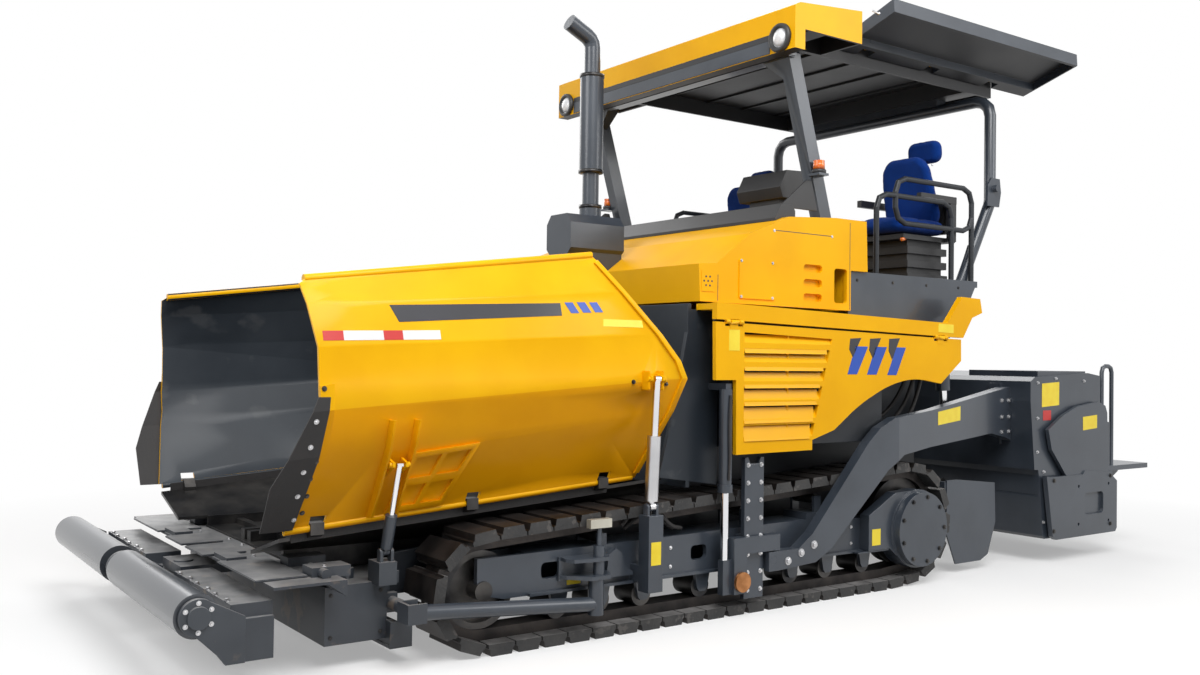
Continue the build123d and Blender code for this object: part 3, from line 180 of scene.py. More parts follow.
YELLOW = paint("yellow", (0.86, 0.42, 0.002), (0.92, 0.47, 0.003), rough=(0.28, 0.4), coat=0.04,
               shine=0.14)
LEMON = paint("lemon", (0.88, 0.44, 0.002), (0.94, 0.50, 0.003), rough=(0.26, 0.38), coat=0.04,
              shine=0.14)
# darker, more orange copy of the yellow: painted shade for the wing's faces that look down
PAINTED_SHADE_YELLOW = paint("yellow_painted_shade", (0.78, 0.33, 0.001), (0.84, 0.37, 0.002), rough=(0.28, 0.4),
              coat=0.04, shine=0.1)
SLATE = paint("slate", (0.031, 0.039, 0.052), (0.046, 0.056, 0.072), rough=(0.24, 0.42), coat=0.25)
DECKING = paint("decking", (0.026, 0.031, 0.040), (0.045, 0.052, 0.062), rough=(0.28, 0.6),
                coat=0.1, worn=(0.13, 0.105, 0.085), dust=(0.42, 0.41, 0.40), dusty=0.75)
INSIDE = paint("hopper_inside", (0.016, 0.021, 0.028), (0.034, 0.041, 0.050), rough=(0.3, 0.55),
               coat=0.05, scale=1.6, worn=(0.048, 0.053, 0.060), worn_from=0.6, shine=0.3)
BLACK = paint("black", (0.008, 0.008, 0.009), (0.016, 0.016, 0.018), rough=(0.4, 0.6), coat=0.0)
DEEPGREY = paint("deepgrey", (0.009, 0.011, 0.014), (0.016, 0.019, 0.024), rough=(0.35, 0.55),
                 coat=0.05, shine=0.35)
RUBBER = paint("rubber", (0.010, 0.009, 0.009), (0.020, 0.018, 0.018), rough=(0.55, 0.8), coat=0.0,
               scale=7, bump=0.12)
TREAD = paint("tread", (0.018, 0.018, 0.0185), (0.044, 0.043, 0.042), rough=(0.5, 0.85), coat=0.0,
              scale=9, bump=0.25, worn=(0.080, 0.074, 0.070), worn_from=0.6,
              dust=(0.30, 0.29, 0.285), dusty=0.9)
CHAIN = paint("chain", (0.020, 0.018, 0.018), (0.06, 0.052, 0.048), rough=(0.35, 0.6), coat=0.0,
              metal=0.7, scale=8)
DARKSTEEL = paint("darksteel", (0.03, 0.03, 0.032), (0.09, 0.085, 0.08), rough=(0.22, 0.5),
                  coat=0.0, metal=0.8, scale=6)
POLISHED = paint("polished_roller", (0.040, 0.046, 0.056), (0.075, 0.082, 0.094),
                 rough=(0.22, 0.36), coat=0.35, metal=0.25, scale=5, stretch=(1.0, 0.12, 1.0),
                 shine=0.6)
STEEL = paint("steel", (0.45, 0.45, 0.46), (0.62, 0.62, 0.63), rough=(0.22, 0.35), coat=0.0,
              metal=1.0)
CHROME = paint("chrome", (0.72, 0.72, 0.74), (0.84, 0.84, 0.85), rough=(0.07, 0.14), coat=0.0,
               metal=1.0, bump=0.0)
BRONZE = paint("bronze", (0.30, 0.13, 0.05), (0.48, 0.22, 0.09), coat=0.0, metal=1.0, scale=20)
CREAM = paint("cream_metal", (0.42, 0.40, 0.33), (0.58, 0.56, 0.48), rough=(0.3, 0.45), coat=0.1,
              metal=0.5)
FABRIC = paint("bluefabric", (0.001, 0.026, 0.17), (0.003, 0.040, 0.24), rough=(0.75, 0.95),
               coat=0.0, bump=0.35, fine=420, shine=0.1)
FABRIC.node_tree.nodes["Principled BSDF"].inputs["Sheen Weight"].default_value = 0.08
PLASTIC = paint("plastic", (0.010, 0.010, 0.011), (0.018, 0.018, 0.019), rough=(0.4, 0.55),
                coat=0.05, fine=220)
GLASS = paint("lampglass", (0.70, 0.71, 0.73), (0.9, 0.9, 0.92), rough=(0.05, 0.1), coat=0.6,
              scale=40)
AMBER = paint("amber", (0.80, 0.13, 0.004), (0.95, 0.22, 0.008), rough=(0.08, 0.2), coat=0.6,
              scale=30)
SCREEN = paint("screen", (0.02, 0.03, 0.04), (0.03, 0.045, 0.06), rough=(0.08, 0.12), coat=0.5)
LABEL = paint("label", (0.90, 0.66, 0.02), (0.95, 0.74, 0.04), rough=(0.35, 0.45), coat=0.1,
              scale=14)
BLUE = paint("bar_blue", (0.004, 0.055, 0.38), (0.006, 0.075, 0.46), rough=(0.3, 0.4), coat=0.2)
NIGHT = paint("bar_black", (0.010, 0.010, 0.014), (0.016, 0.016, 0.022), rough=(0.3, 0.42),
              coat=0.2)
RED = paint("bar_red", (0.52, 0.010, 0.008), (0.62, 0.018, 0.012), rough=(0.3, 0.4), coat=0.2)
WHITE = paint("bar_white", (0.70, 0.70, 0.70), (0.82, 0.82, 0.82), rough=(0.3, 0.4), coat=0.2)

SLOT_LOOK = {"yellow_paint": YELLOW, "slate_paint": SLATE, "black_paint": DEEPGREY,
             "track_rubber": TREAD, "steel": STEEL, "chrome": CHROME, "dark_steel": DARKSTEEL,
             "seat_fabric": FABRIC, "black_plastic": PLASTIC, "lamp": GLASS, "amber": AMBER,
             "rubber": RUBBER}
NODE_LOOK = {"front_beam": DECKING, "push_beam": DECKING, "push_roller_l": POLISHED,
             "push_roller_r": POLISHED, "wing_l": LEMON, "wing_r": LEMON, "main_barrel_l": STEEL,
             "main_barrel_r": STEEL, "bulkhead": INSIDE, "platform": SLATE, "exhaust": SLATE,
             "track_wheels": DARKSTEEL}
for part in frame["record"]["subparts"]:
    node = NODES[part["node"]]
    node.data.materials.clear()
    node.data.materials.append(NODE_LOOK.get(part["node"], SLOT_LOOK[part["material_slot"]]))

# pressed sheet and welded plate: facets merged where they are flat, then soft edges
SOFT_EDGED = ("wing_l", "wing_r", "door_l", "door_r", "hood", "shoulders", "platform",
              "front_beam", "push_beam", "screed", "screed_ext_l", "screed_ext_r", "track_frames",
              "tow_guides", "tow_carriages", "wing_posts", "roof", "dash", "canopy_flap_l",
              "canopy_flap_r", "bulkhead", "hull", "drive_covers", "console", "seat_bases",
              "hoops")
WELD_REACH, EDGE_WIDTH = 0.00002, 0.0028
FLAT_TO, EDGE_FROM = 0.5, 38  # degrees between faces
for name in SOFT_EDGED:
    weld = NODES[name].modifiers.new("weld", "WELD")
    weld.merge_threshold = WELD_REACH
    flat = NODES[name].modifiers.new("flat", "DECIMATE")
    flat.decimate_type = "DISSOLVE"
    flat.angle_limit = math.radians(FLAT_TO)
    flat.delimit = {"MATERIAL"}
    soft = NODES[name].modifiers.new("soft", "BEVEL")
    soft.width = EDGE_WIDTH
    soft.segments = 2
    soft.limit_method = "ANGLE"
    soft.angle_limit = math.radians(EDGE_FROM)
    soft.use_clamp_overlap = True


def second_look(node_name, mat, test):
    """Gives mat to the faces of a CAD node whose centre and normal pass the test."""
    mesh = NODES[node_name].data
    mesh.materials.append(mat)
    index = len(mesh.materials) - 1
    for face in mesh.polygons:
        if test(face.center, face.normal):
            face.material_index = index


WING_WALL, LIP_Z, LIP_Y = 0.9, 1.55, 1.04  # inner faces beyond this Y, but for the bent upper lip
for tag, s in SIDES:
    second_look("wing_" + tag, INSIDE, lambda c, n: n.y * s < -0.25 and abs(c.y) > WING_WALL
                and not (c.z > LIP_Z and abs(c.y) < LIP_Y))
    # outer wing faces that look down take the darker yellow: painted shade
    second_look("wing_" + tag, PAINTED_SHADE_YELLOW, lambda c, n: n.y * s > 0.25 and n.z < -0.12)

lo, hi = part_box("roof")
BROW_REAR, CEILING_Z = -0.33, 3.19
STEP_Y, BESIDE_STEP = (0.84, 0.86), (0.835, 0.865)  # half widths at the step over the flaps


def under_roof(c, n):
    """Faces that look down, and inner sides below the roof's skin."""
    in_brow = BESIDE_STEP[1] < abs(c.y) < hi.y - 0.02 and c.x > BROW_REAR + 0.015
    low = CEILING_Z < c.z < hi.z - 0.08 and c.x < hi.x - 0.09
    return n.z < -0.5 or (low and abs(n.z) < 0.5 and (abs(c.y) < BESIDE_STEP[0] or in_brow))


second_look("roof", BLACK, lambda c, n: STEP_Y[0] < abs(c.y) < STEP_Y[1]
            and abs(n.y) > 0.9 and c.x < BROW_REAR)
second_look("roof", BLACK, under_roof)
for tag, s in SIDES:
    second_look("canopy_flap_" + tag, BLACK, lambda c, n: n.z < -0.2)
lo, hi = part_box("stays")
second_look("stays", CREAM, lambda c, n: c.z > hi.z - 0.05)
lo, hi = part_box("tow_carriages")
ROD_X, ROD_Y, ROD_R, ROD_LOW, WHEEL_Y = lo.x + 0.365, 1.215, 0.022, 0.42, 1.2575
second_look("tow_carriages", CHROME,
            lambda c, n: math.hypot(c.x - ROD_X, abs(c.y) - ROD_Y) < ROD_R and c.z > ROD_LOW)
second_look("tow_carriages", BRONZE, lambda c, n: abs(c.y) > WHEEL_Y)
lo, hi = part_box("track_l")
TRACK_MID, CHAIN_HALF = (lo.y + hi.y) / 2, 0.068
for tag, s in SIDES:
    second_look("track_" + tag, CHAIN, lambda c, n: abs(abs(c.y) - TRACK_MID) < CHAIN_HALF)


# -------------------------------- pieces laid on the CAD surfaces
FAR = 4  # rays start this far from the middle
STICKER_GAP = 0.0003  # between a sticker's back and the surface
TREES = {}


def tree_of(name):
    if name not in TREES:
        TREES[name] = BVHTree.FromObject(NODES[name], bpy.context.evaluated_depsgraph_get())
    return TREES[name]


def hit(name, origin, direction):
    """Where a ray meets a node, and the normal there."""
    return tree_of(name).ray_cast(Vector(origin), Vector(direction))[:2]


def finish_mesh(name, mesh, mat, body, smooth=False):
    obj = bpy.data.objects.new(name, mesh)
    scene.collection.objects.link(obj)
    mesh.materials.append(mat)
    for face in mesh.polygons:
        face.use_smooth = smooth
    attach(obj, body)
    return obj


def mesh_of(bm, name, closed=False):
    """Mesh of a bmesh. closed: its faces are turned outward first."""
    if closed:
        bmesh.ops.recalc_face_normals(bm, faces=bm.faces)
    mesh = bpy.data.meshes.new(name)
    bm.to_mesh(mesh)
    bm.free()
    return mesh


def solid_of(name, points, faces):
    """Mesh of a closed solid from its points and faces."""
    mesh = bpy.data.meshes.new(name)
    mesh.from_pydata(points, [], faces)
    bm = bmesh.new()
    bm.from_mesh(mesh)
    bpy.data.meshes.remove(mesh)
    return mesh_of(bm, name, closed=True)


def in_box(node, shares):
    """Points (x, z) from shares (u, w) of a node's box in side view."""
    lo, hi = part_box(node)
    return [(lo.x + u * (hi.x - lo.x), lo.z + w * (hi.z - lo.z)) for u, w in shares]


def sticker(name, node, corners, mat, side=1, across=6, down=4, lift=0.0015):
    """Thin plate on the outer side of a node. corners: four (u, w) of its box."""
    a, b, c, d = [Vector((x, z, 0)) for x, z in in_box(node, corners)]
    outer, under, faces = [], [], []
    for i in range(down + 1):
        for j in range(across + 1):
            p = a.lerp(b, j / across).lerp(d.lerp(c, j / across), i / down)
            place, normal = hit(node, (p.x, side * FAR, p.y), (0, -side, 0))
            if place is None:
                print("NO SURFACE", name)
                return
            outer.append(place + normal * lift)
            under.append(place + normal * STICKER_GAP)
    step = across + 1
    for i in range(down):
        for j in range(across):
            k = i * step + j
            faces.append((k, k + 1, k + 1 + step, k + step))
    rim = list(range(step)) + [i * step + across for i in range(1, down + 1)]
    rim += [down * step + j for j in range(across - 1, -1, -1)]
    rim += [i * step for i in range(down - 1, 0, -1)]
    for p, q in zip(rim, rim[1:] + rim[:1]):
        faces.append((p, p + len(outer), q + len(outer), q))
    finish_mesh(name, solid_of(name, outer + under, faces), mat, BODY[node])


def add_bolt(bm, at, normal, r, high):
    """Washer, hexagon and its chamfer: corners, and radii, depth and middle in r and high."""
    turn = Vector(normal).to_track_quat("Z", "Y").to_matrix().to_4x4()
    base = Matrix.Translation(Vector(at)) @ turn
    for corners, wide, narrow, depth, middle in ((16, 1.45, 1.4, 0.25, 0.125),
                                                 (6, 1.0, 1.0, 0.6, 0.5), (6, 1.0, 0.8, 0.2, 0.9)):
        bmesh.ops.create_cone(bm, cap_ends=True, segments=corners, radius1=r * wide,
                              radius2=r * narrow, depth=high * depth,
                              matrix=base @ Matrix.Translation((0, 0, high * middle)))


def bolts(name, node, spots, mat, r=0.011, high=0.012, sides=(1,), above=False):
    """Bolt heads on a node. spots: (x, z) seen from the sides, or (x, y) seen from above."""
    bm = bmesh.new()
    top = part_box(node)[1].z + 1
    for side in sides:
        for x, other in spots:
            if above:
                place, normal = hit(node, (x, side * other, top), (0, 0, -1))
            else:
                place, normal = hit(node, (x, side * FAR, other), (0, -side, 0))
            if place is not None:
                add_bolt(bm, place, normal, r, high)
    if bm.verts:
        finish_mesh(name, mesh_of(bm, name), mat, BODY[node])


def hose(name, points, r, mat, soft=True):
    """Hose of the tractor, smooth through its points, or straight between them if not soft."""
    data = bpy.data.curves.new(name, "CURVE")
    data.dimensions = "3D"
    data.bevel_depth = r
    data.bevel_resolution = 4
    data.resolution_u = 10
    line = data.splines.new("BEZIER" if soft else "POLY")
    if soft:
        line.bezier_points.add(len(points) - 1)
        for bp, p in zip(line.bezier_points, points):
            bp.co = p
            bp.handle_left_type = bp.handle_right_type = "AUTO"
    else:
        line.points.add(len(points) - 1)
        for bp, p in zip(line.points, points):
            bp.co = (*p, 1)
    temp = bpy.data.objects.new(name + "_line", data)
    scene.collection.objects.link(temp)
    drawn = temp.evaluated_get(bpy.context.evaluated_depsgraph_get())
    mesh = bpy.data.meshes.new_from_object(drawn)
    bpy.data.objects.remove(temp)
    mesh.name = name
    mesh.materials.clear()
    finish_mesh(name, mesh, mat, "tractor", smooth=True)


def lathe(name, body, profile, at, axis, mat, segments=40):
    """Turned piece: profile of (radius, along) swept round an axis through at."""
    bm = bmesh.new()
    rings = []
    turn = Vector(axis).to_track_quat("Z", "Y").to_matrix()
    for radius, along in profile:
        ring = []
        for k in range(segments):
            a = 2 * math.pi * k / segments
            point = Vector((radius * math.cos(a), radius * math.sin(a), along))
            ring.append(bm.verts.new(Vector(at) + turn @ point))
        rings.append(ring)
    for one, two in zip(rings, rings[1:]):
        for k in range(segments):
            m = (k + 1) % segments
            bm.faces.new((one[k], one[m], two[m], two[k]))
    bm.faces.new(rings[0][::-1])
    bm.faces.new(rings[-1])
    mesh = mesh_of(bm, name, closed=True)
    finish_mesh(name, mesh, mat, body, smooth=True)
    mesh.polygons.foreach_set("use_smooth", [len(p.vertices) == 4 for p in mesh.polygons])


def block(name, body, lo, hi, mat, bevel=0.004):
    """Box with softened edges between two corners."""
    bm = bmesh.new()
    bmesh.ops.create_cube(bm, size=1.0)
    size = Vector(hi) - Vector(lo)
    for v in bm.verts:
        shares = [(c + 0.5) * s for c, s in zip(v.co, size)]
        v.co = Vector(lo) + Vector(shares)
    bmesh.ops.bevel(bm, geom=bm.edges[:], offset=bevel, segments=2, affect="EDGES")
    finish_mesh(name, mesh_of(bm, name), mat, body)


def side_block(name, body, s, x, y, z, mat, bevel=0.004):
    """Block on side s between pairs of ends; y as on the left side."""
    near, far = sorted((s * y[0], s * y[1]))
    block(name, body, (x[0], near, z[0]), (x[1], far, z[1]), mat, bevel)


# -------------------------------- bars, strips and blank plates
# name, node on the left side, look, four (u, w) corners
STICKERS = (
    ("bar_blue_a", "door_l", BLUE,
     ((0.478, 0.825), (0.426, 0.825), (0.471, 0.599), (0.510, 0.599))),
    ("bar_blue_b", "door_l", BLUE,
     ((0.393, 0.825), (0.345, 0.825), (0.389, 0.597), (0.429, 0.597))),
    ("bar_blue_c", "door_l", BLUE,
     ((0.303, 0.825), (0.261, 0.825), (0.302, 0.594), (0.342, 0.594))),
    ("bar_dark_a", "door_l", NIGHT,
     ((0.500, 0.886), (0.455, 0.894), (0.489, 0.735), (0.504, 0.800))),
    ("bar_dark_b", "door_l", NIGHT,
     ((0.417, 0.890), (0.371, 0.898), (0.405, 0.729), (0.421, 0.798))),
    ("bar_dark_c", "door_l", NIGHT,
     ((0.335, 0.894), (0.288, 0.902), (0.322, 0.722), (0.337, 0.795))),
    ("door_plate", "door_l", LABEL,
     ((0.955, 0.925), (0.918, 0.925), (0.918, 0.770), (0.955, 0.770))),
    ("wing_strip", "wing_l", NIGHT,
     ((0.802, 0.760), (0.365, 0.793), (0.365, 0.747), (0.784, 0.704))),
    ("wing_bar_a", "wing_l", BLUE,
     ((0.353, 0.796), (0.330, 0.798), (0.315, 0.759), (0.338, 0.757))),
    ("wing_bar_b", "wing_l", BLUE,
     ((0.318, 0.799), (0.294, 0.801), (0.279, 0.763), (0.303, 0.761))),
    ("wing_bar_c", "wing_l", BLUE,
     ((0.282, 0.801), (0.259, 0.803), (0.244, 0.766), (0.268, 0.764))),
    ("wing_plate_a", "wing_l", LABEL,
     ((0.247, 0.740), (0.130, 0.740), (0.130, 0.712), (0.251, 0.712))),
    ("arm_plate", "screed", LABEL,
     ((0.564, 0.773), (0.483, 0.799), (0.483, 0.720), (0.564, 0.700))),
    ("post_plate", "wing_posts", LABEL, ((0.84, 0.57), (0.16, 0.57), (0.16, 0.31), (0.84, 0.31))),
    ("frame_plate_a", "track_frames", LABEL,
     ((0.822, 0.465), (0.793, 0.465), (0.793, 0.284), (0.822, 0.284))),
    ("frame_plate_b", "drive_covers", LABEL,
     ((0.960, 0.553), (0.850, 0.553), (0.850, 0.351), (0.960, 0.351))),
    ("screed_plate_a", "screed", LABEL,
     ((0.247, 0.925), (0.188, 0.935), (0.188, 0.795), (0.247, 0.785))),
    ("screed_plate_b", "screed_ext_l", LABEL,
     ((0.677, 0.690), (0.549, 0.700), (0.549, 0.622), (0.676, 0.612))),
    ("screed_plate_c", "screed", RED,
     ((0.243, 0.765), (0.216, 0.765), (0.216, 0.706), (0.243, 0.706))),
    ("shoulder_plate", "shoulders", LABEL,
     ((0.196, 0.360), (0.130, 0.350), (0.130, 0.150), (0.196, 0.170))),
)
for name, node, look_mat, corners in STICKERS:
    for tag, s in SIDES:
        target = node[:-1] + tag if node.endswith("_l") else node
        sticker(name + "_" + tag, target, corners, look_mat, s)

# red and white strip high on the wing's front
STRIPES, STRIPE_U, STRIPE_LONG, STRIPE_W, STRIPE_RISE = 6, 0.957, 0.0445, (0.637, 0.668), 0.002
for k in range(STRIPES):
    u0, u1 = STRIPE_U - k * STRIPE_LONG, STRIPE_U - (k + 1) * STRIPE_LONG
    rise0, rise1 = k * STRIPE_RISE, (k + 1) * STRIPE_RISE
    low, high = STRIPE_W
    corners = ((u0, high + rise0), (u1, high + rise1), (u1, low + rise1), (u0, low + rise0))
    for tag, s in SIDES:
        sticker("strip_%d_%s" % (k, tag), "wing_" + tag, corners, WHITE if k % 3 else RED, s,
                across=2, down=1)

# seams of the hood, dark lines
SEAMS = (((0.582, 0.797), (0.240, 0.797), (0.240, 0.790), (0.582, 0.790)),
         ((0.120, 0.965), (0.117, 0.965), (0.117, 0.012), (0.120, 0.012)),
         ((0.900, 0.290), (0.897, 0.290), (0.897, 0.030), (0.900, 0.030)))
for k, corners in enumerate(SEAMS):
    for tag, s in SIDES:
        sticker("hood_seam_%d%s" % (k, tag), "hood", corners, NIGHT, s, lift=0.0006)

# -------------------------------- slats over the door's louvre
SLATS, SLAT_LOW, SLAT_PITCH, SLAT_HIGH = 6, 0.068, 0.0925, 0.083
SLAT_REAR, SLAT_FRONT, SLAT_MID, SLAT_LEAN = 1.183, 1.828, 0.62, -0.285  # from the door's corner
DOOR_THICK, SLAT_PROUD, SLAT_BACK, SLAT_THICK, NOSE = 0.026, 0.006, 0.008, 0.004, 0.012
for tag, s in SIDES:
    lo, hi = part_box("door_" + tag)
    y_in = lo.y if s > 0 else -hi.y
    front, back = y_in + DOOR_THICK + SLAT_PROUD, y_in + SLAT_BACK
    bm = bmesh.new()
    for k in range(SLATS):
        low = lo.z + SLAT_LOW + k * SLAT_PITCH
        high = low + SLAT_HIGH
        low_rear, high_rear = [lo.x + SLAT_REAR + (z - lo.z - SLAT_MID) * SLAT_LEAN
                               for z in (low, high)]
        ahead = lo.x + SLAT_FRONT
        pts = [(low_rear, front, low), (ahead, front, low), (ahead, front - 0.004, low + NOSE),
               (ahead, back, high), (high_rear, back, high), (low_rear, front - 0.004, low + NOSE)]
        outer = [bm.verts.new((x, s * y, z)) for x, y, z in pts]
        inner = [bm.verts.new((x, s * (y - SLAT_THICK), z + 0.001)) for x, y, z in pts]
        for ring in ((0, 1, 2, 5), (5, 2, 3, 4)):
            bm.faces.new([outer[i] for i in ring])
            bm.faces.new([inner[i] for i in ring[::-1]])
        for a, b in ((0, 1), (1, 2), (2, 3), (3, 4), (4, 5), (5, 0)):
            bm.faces.new((outer[a], inner[a], inner[b], outer[b]))
    name = "louvre_" + tag
    finish_mesh(name, mesh_of(bm, name, closed=True), YELLOW, "door_" + tag)

# -------------------------------- bolts
BOTH = (1, -1)


def offsets(node, xs, zs):
    """Points (x, z) at every pair of distances from the low corner of a node's box."""
    lo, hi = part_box(node)
    return [(lo.x + dx, lo.z + dz) for dx in xs for dz in zs]


bolts("guide_bolts", "tow_guides", offsets("tow_guides", (0.022, 0.116),
      [0.045 + k * 0.094 for k in range(8)]), STEEL, r=0.009, sides=BOTH)
lo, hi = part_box("drive_covers")
COVER_R, BOLT_RING, COVER_BOLTS = 0.235, 0.195, 9
angles = [math.radians(20 + 40 * k) for k in range(COVER_BOLTS)]
bolts("drive_bolts", "drive_covers", [(lo.x + COVER_R + BOLT_RING * math.cos(a),
      lo.z + COVER_R + BOLT_RING * math.sin(a)) for a in angles], DARKSTEEL, r=0.010, sides=BOTH)
bolts("hood_bolts", "hood", in_box("hood", ((0.775, 0.448), (0.598, 0.448), (0.775, 0.085),
      (0.598, 0.085), (0.586, 0.79), (0.235, 0.79))), STEEL, r=0.006, high=0.005, sides=BOTH)
bolts("frame_bolts", "track_frames", offsets("track_frames", (0.26, 1.02, 1.62, 2.16),
      (0.15, 0.245)), STEEL, r=0.007, high=0.008, sides=BOTH)
lo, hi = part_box("front_beam")
DECK_BOLTS = ((0.45, 0.10), (0.62, 0.12), (0.66, 0.30), (0.50, 0.42), (0.64, 0.62), (0.48, 0.80),
              (0.64, 0.95), (0.40, 1.02), (0.30, 0.55))
bolts("deck_bolts", "front_beam", [(lo.x + dx, y) for dx, y in DECK_BOLTS], STEEL, r=0.007,
      high=0.008, sides=BOTH, above=True)
bolts("beam_bolts", "front_beam", offsets("front_beam", (0.13, 0.36), (0.07, 0.25)), DARKSTEEL,
      r=0.007, high=0.007, sides=BOTH)
lo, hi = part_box("push_beam")
bolts("push_bolts", "push_beam", [(lo.x + 0.16 + 0.008 * (k % 2), 0.22 + 0.13 * k)
      for k in range(7)], STEEL, r=0.009, sides=BOTH, above=True)
for tag, s in SIDES:
    lo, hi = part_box("wing_" + tag)
    rim = [(hi.x - 0.075 - 0.01 * math.sin(3 * k), lo.z + 0.10 + k * 0.075) for k in range(8)]
    bolts("wing_rim_bolts_" + tag, "wing_" + tag, rim, DARKSTEEL, r=0.008, high=0.008, sides=(s,))
bolts("arm_bolts", "screed", offsets("screed", (0.935 + 0.06, 0.935 + 0.16),
      (0.69 + 0.03, 0.69 + 0.13, 0.69 + 0.24)), STEEL, r=0.011, sides=BOTH)
lo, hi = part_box("screed")
bolts("pivot_bolts", "screed", [(lo.x + 3.30, lo.z + 0.10), (lo.x + 3.20, lo.z + 0.135),
      (lo.x + 3.10, lo.z + 0.17)], STEEL, r=0.016, high=0.016, sides=BOTH)
for tag, s in SIDES:
    lo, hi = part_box("wing_flap_" + tag)
    spots = [(lo.x + 0.065 + 0.012 * math.sin(k), lo.z + 0.05 + k * 0.105) for k in range(5)]
    bolts("flap_bolts_" + tag, "wing_flap_" + tag, spots, STEEL, r=0.008, high=0.007, sides=(s,))
for tag, s in SIDES:
    bolts("ext_bolts_" + tag, "screed_ext_" + tag, offsets("screed_ext_l", (0.60, 1.30),
          (0.06, 0.40)), DARKSTEEL, r=0.011, sides=(s,))
lo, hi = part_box("platform")
bolts("platform_bolts", "platform", [(lo.x + 0.2 + k * 0.32, hi.z - 0.05) for k in range(4)],
      DARKSTEEL, r=0.007, high=0.006, sides=BOTH)

# -------------------------------- plate with holes on the hood
lo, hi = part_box("hood")
GRILLE_X, GRILLE_Z, GRILLE_HALF = lo.x + 1.256, lo.z + 0.117, (0.044, 0.056)
HOLE_RING, HOLE_R = 0.027, 0.0055
for tag, s in SIDES:
    inner, outer = hi.y - 0.007, hi.y - 0.007 + 0.003
    side_block("grille_plate_" + tag, BODY["hood"], s,
               (GRILLE_X - GRILLE_HALF[0], GRILLE_X + GRILLE_HALF[0]), (inner, outer),
               (GRILLE_Z - GRILLE_HALF[1], GRILLE_Z + GRILLE_HALF[1]), YELLOW, bevel=0.001)
    bm = bmesh.new()
    for k in range(7):
        a = math.radians(60 * k)
        r = 0.0 if k == 6 else HOLE_RING
        at = (GRILLE_X + r * math.cos(a), s * (outer + 0.0004), GRILLE_Z + r * math.sin(a))
        bmesh.ops.create_cone(bm, cap_ends=True, segments=16, radius1=HOLE_R, radius2=HOLE_R,
                              depth=0.001, matrix=Matrix.Translation(at)
                              @ Matrix.Rotation(math.pi / 2, 4, "X"))
    finish_mesh("grille_holes_" + tag, mesh_of(bm, "grille_holes_" + tag), NIGHT, BODY["hood"])

# -------------------------------- lamps, beacons, console, exhaust
# profiles: (radius, along the axis)
LAMP_RING = ((0.060, 0.0), (0.078, 0.0), (0.082, 0.010), (0.080, 0.026), (0.070, 0.032),
             (0.058, 0.028), (0.050, 0.012))
LAMP_LENS = ((0.050, 0.0), (0.047, 0.010), (0.032, 0.018), (0.001, 0.021))
BEACON_BASE = ((0.036, 0.0), (0.042, 0.004), (0.042, 0.018), (0.036, 0.024))
BEACON_DOME = ((0.034, 0.0), (0.034, 0.030), (0.028, 0.044), (0.015, 0.050), (0.001, 0.052))
SMALL_KNOB = ((0.010, 0.0), (0.012, 0.012), (0.010, 0.030), (0.004, 0.033))
lo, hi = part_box("headlamps")
for tag, s in SIDES:
    y, z = s * (hi.y - 0.062), (lo.z + hi.z) / 2
    lathe("lamp_ring_" + tag, "tractor", LAMP_RING, (hi.x - 0.018, y, z), AHEAD, PLASTIC)
    lathe("lamp_lens_" + tag, "tractor", LAMP_LENS, (hi.x - 0.004, y, z), AHEAD, GLASS)
lo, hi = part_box("beacons")
for tag, s in SIDES:
    x, y = (lo.x + hi.x) / 2, s * (hi.y - 0.033)
    lathe("beacon_base_" + tag, "tractor", BEACON_BASE, (x, y, lo.z), UP, PLASTIC)
    lathe("beacon_dome_" + tag, "tractor", BEACON_DOME, (x, y, lo.z + 0.024), UP, AMBER)
lo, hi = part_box("roof")
block("work_light", "tractor", (lo.x + 2.20, -0.02, lo.z + 0.005),
      (lo.x + 2.262, 0.20, lo.z + 0.085), PLASTIC, 0.008)
lo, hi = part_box("console")
SCREEN_HALF, HOOD_HALF = 0.07, 0.085
for k, dy in enumerate((0.10, 0.28)):
    y = lo.y + dy
    block("console_screen_%d" % k, "console", (lo.x + 0.05, y - SCREEN_HALF, hi.z - 0.040),
          (lo.x + 0.14, y + SCREEN_HALF, hi.z - 0.018), SCREEN, 0.004)
    block("console_hood_%d" % k, "console", (lo.x + 0.145, y - HOOD_HALF, hi.z - 0.06),
          (lo.x + 0.175, y + HOOD_HALF, hi.z - 0.001), PLASTIC, 0.008)
for k in range(5):
    lathe("console_knob_%d" % k, "console", SMALL_KNOB,
          (lo.x + 0.03, lo.y + 0.06 + 0.06 * k, hi.z - 0.085), UP,
          STEEL if k == 2 else PLASTIC, segments=20)
lo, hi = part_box("exhaust")
PIPE_X = lo.x + 0.163
for k, (dz, r) in enumerate(((0.62, 0.076), (1.205, 0.076), (0.405, 0.070))):
    band = ((r - 0.02, 0.0), (r, 0.002), (r, 0.022), (r - 0.02, 0.024))
    lathe("exhaust_band_%d" % k, "tractor", band, (PIPE_X, 0, lo.z + dz), UP, DARKSTEEL)

# -------------------------------- push roller ends
HUB = ((0.040, -0.012), (0.040, -0.002), (0.034, -0.0005))
HUB_RING, HUB_SUNK = 0.056, 0.014
lo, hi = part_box("push_beam")
for tag, s in SIDES:
    low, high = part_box("push_roller_" + tag)
    x, z = (low.x + high.x) / 2, (low.z + high.z) / 2
    lathe("roller_hub_" + tag, "push_beam", HUB, (x, hi.y * s, z), (0, s, 0), DARKSTEEL)
    bm = bmesh.new()
    for k in range(6):
        a = math.radians(30 + 60 * k)
        at = (x + HUB_RING * math.cos(a), s * (hi.y - HUB_SUNK), z + HUB_RING * math.sin(a))
        add_bolt(bm, at, (0, s, 0), 0.007, 0.008)
    finish_mesh("hub_bolts_" + tag, mesh_of(bm, "hub_bolts_" + tag), STEEL, "push_beam")

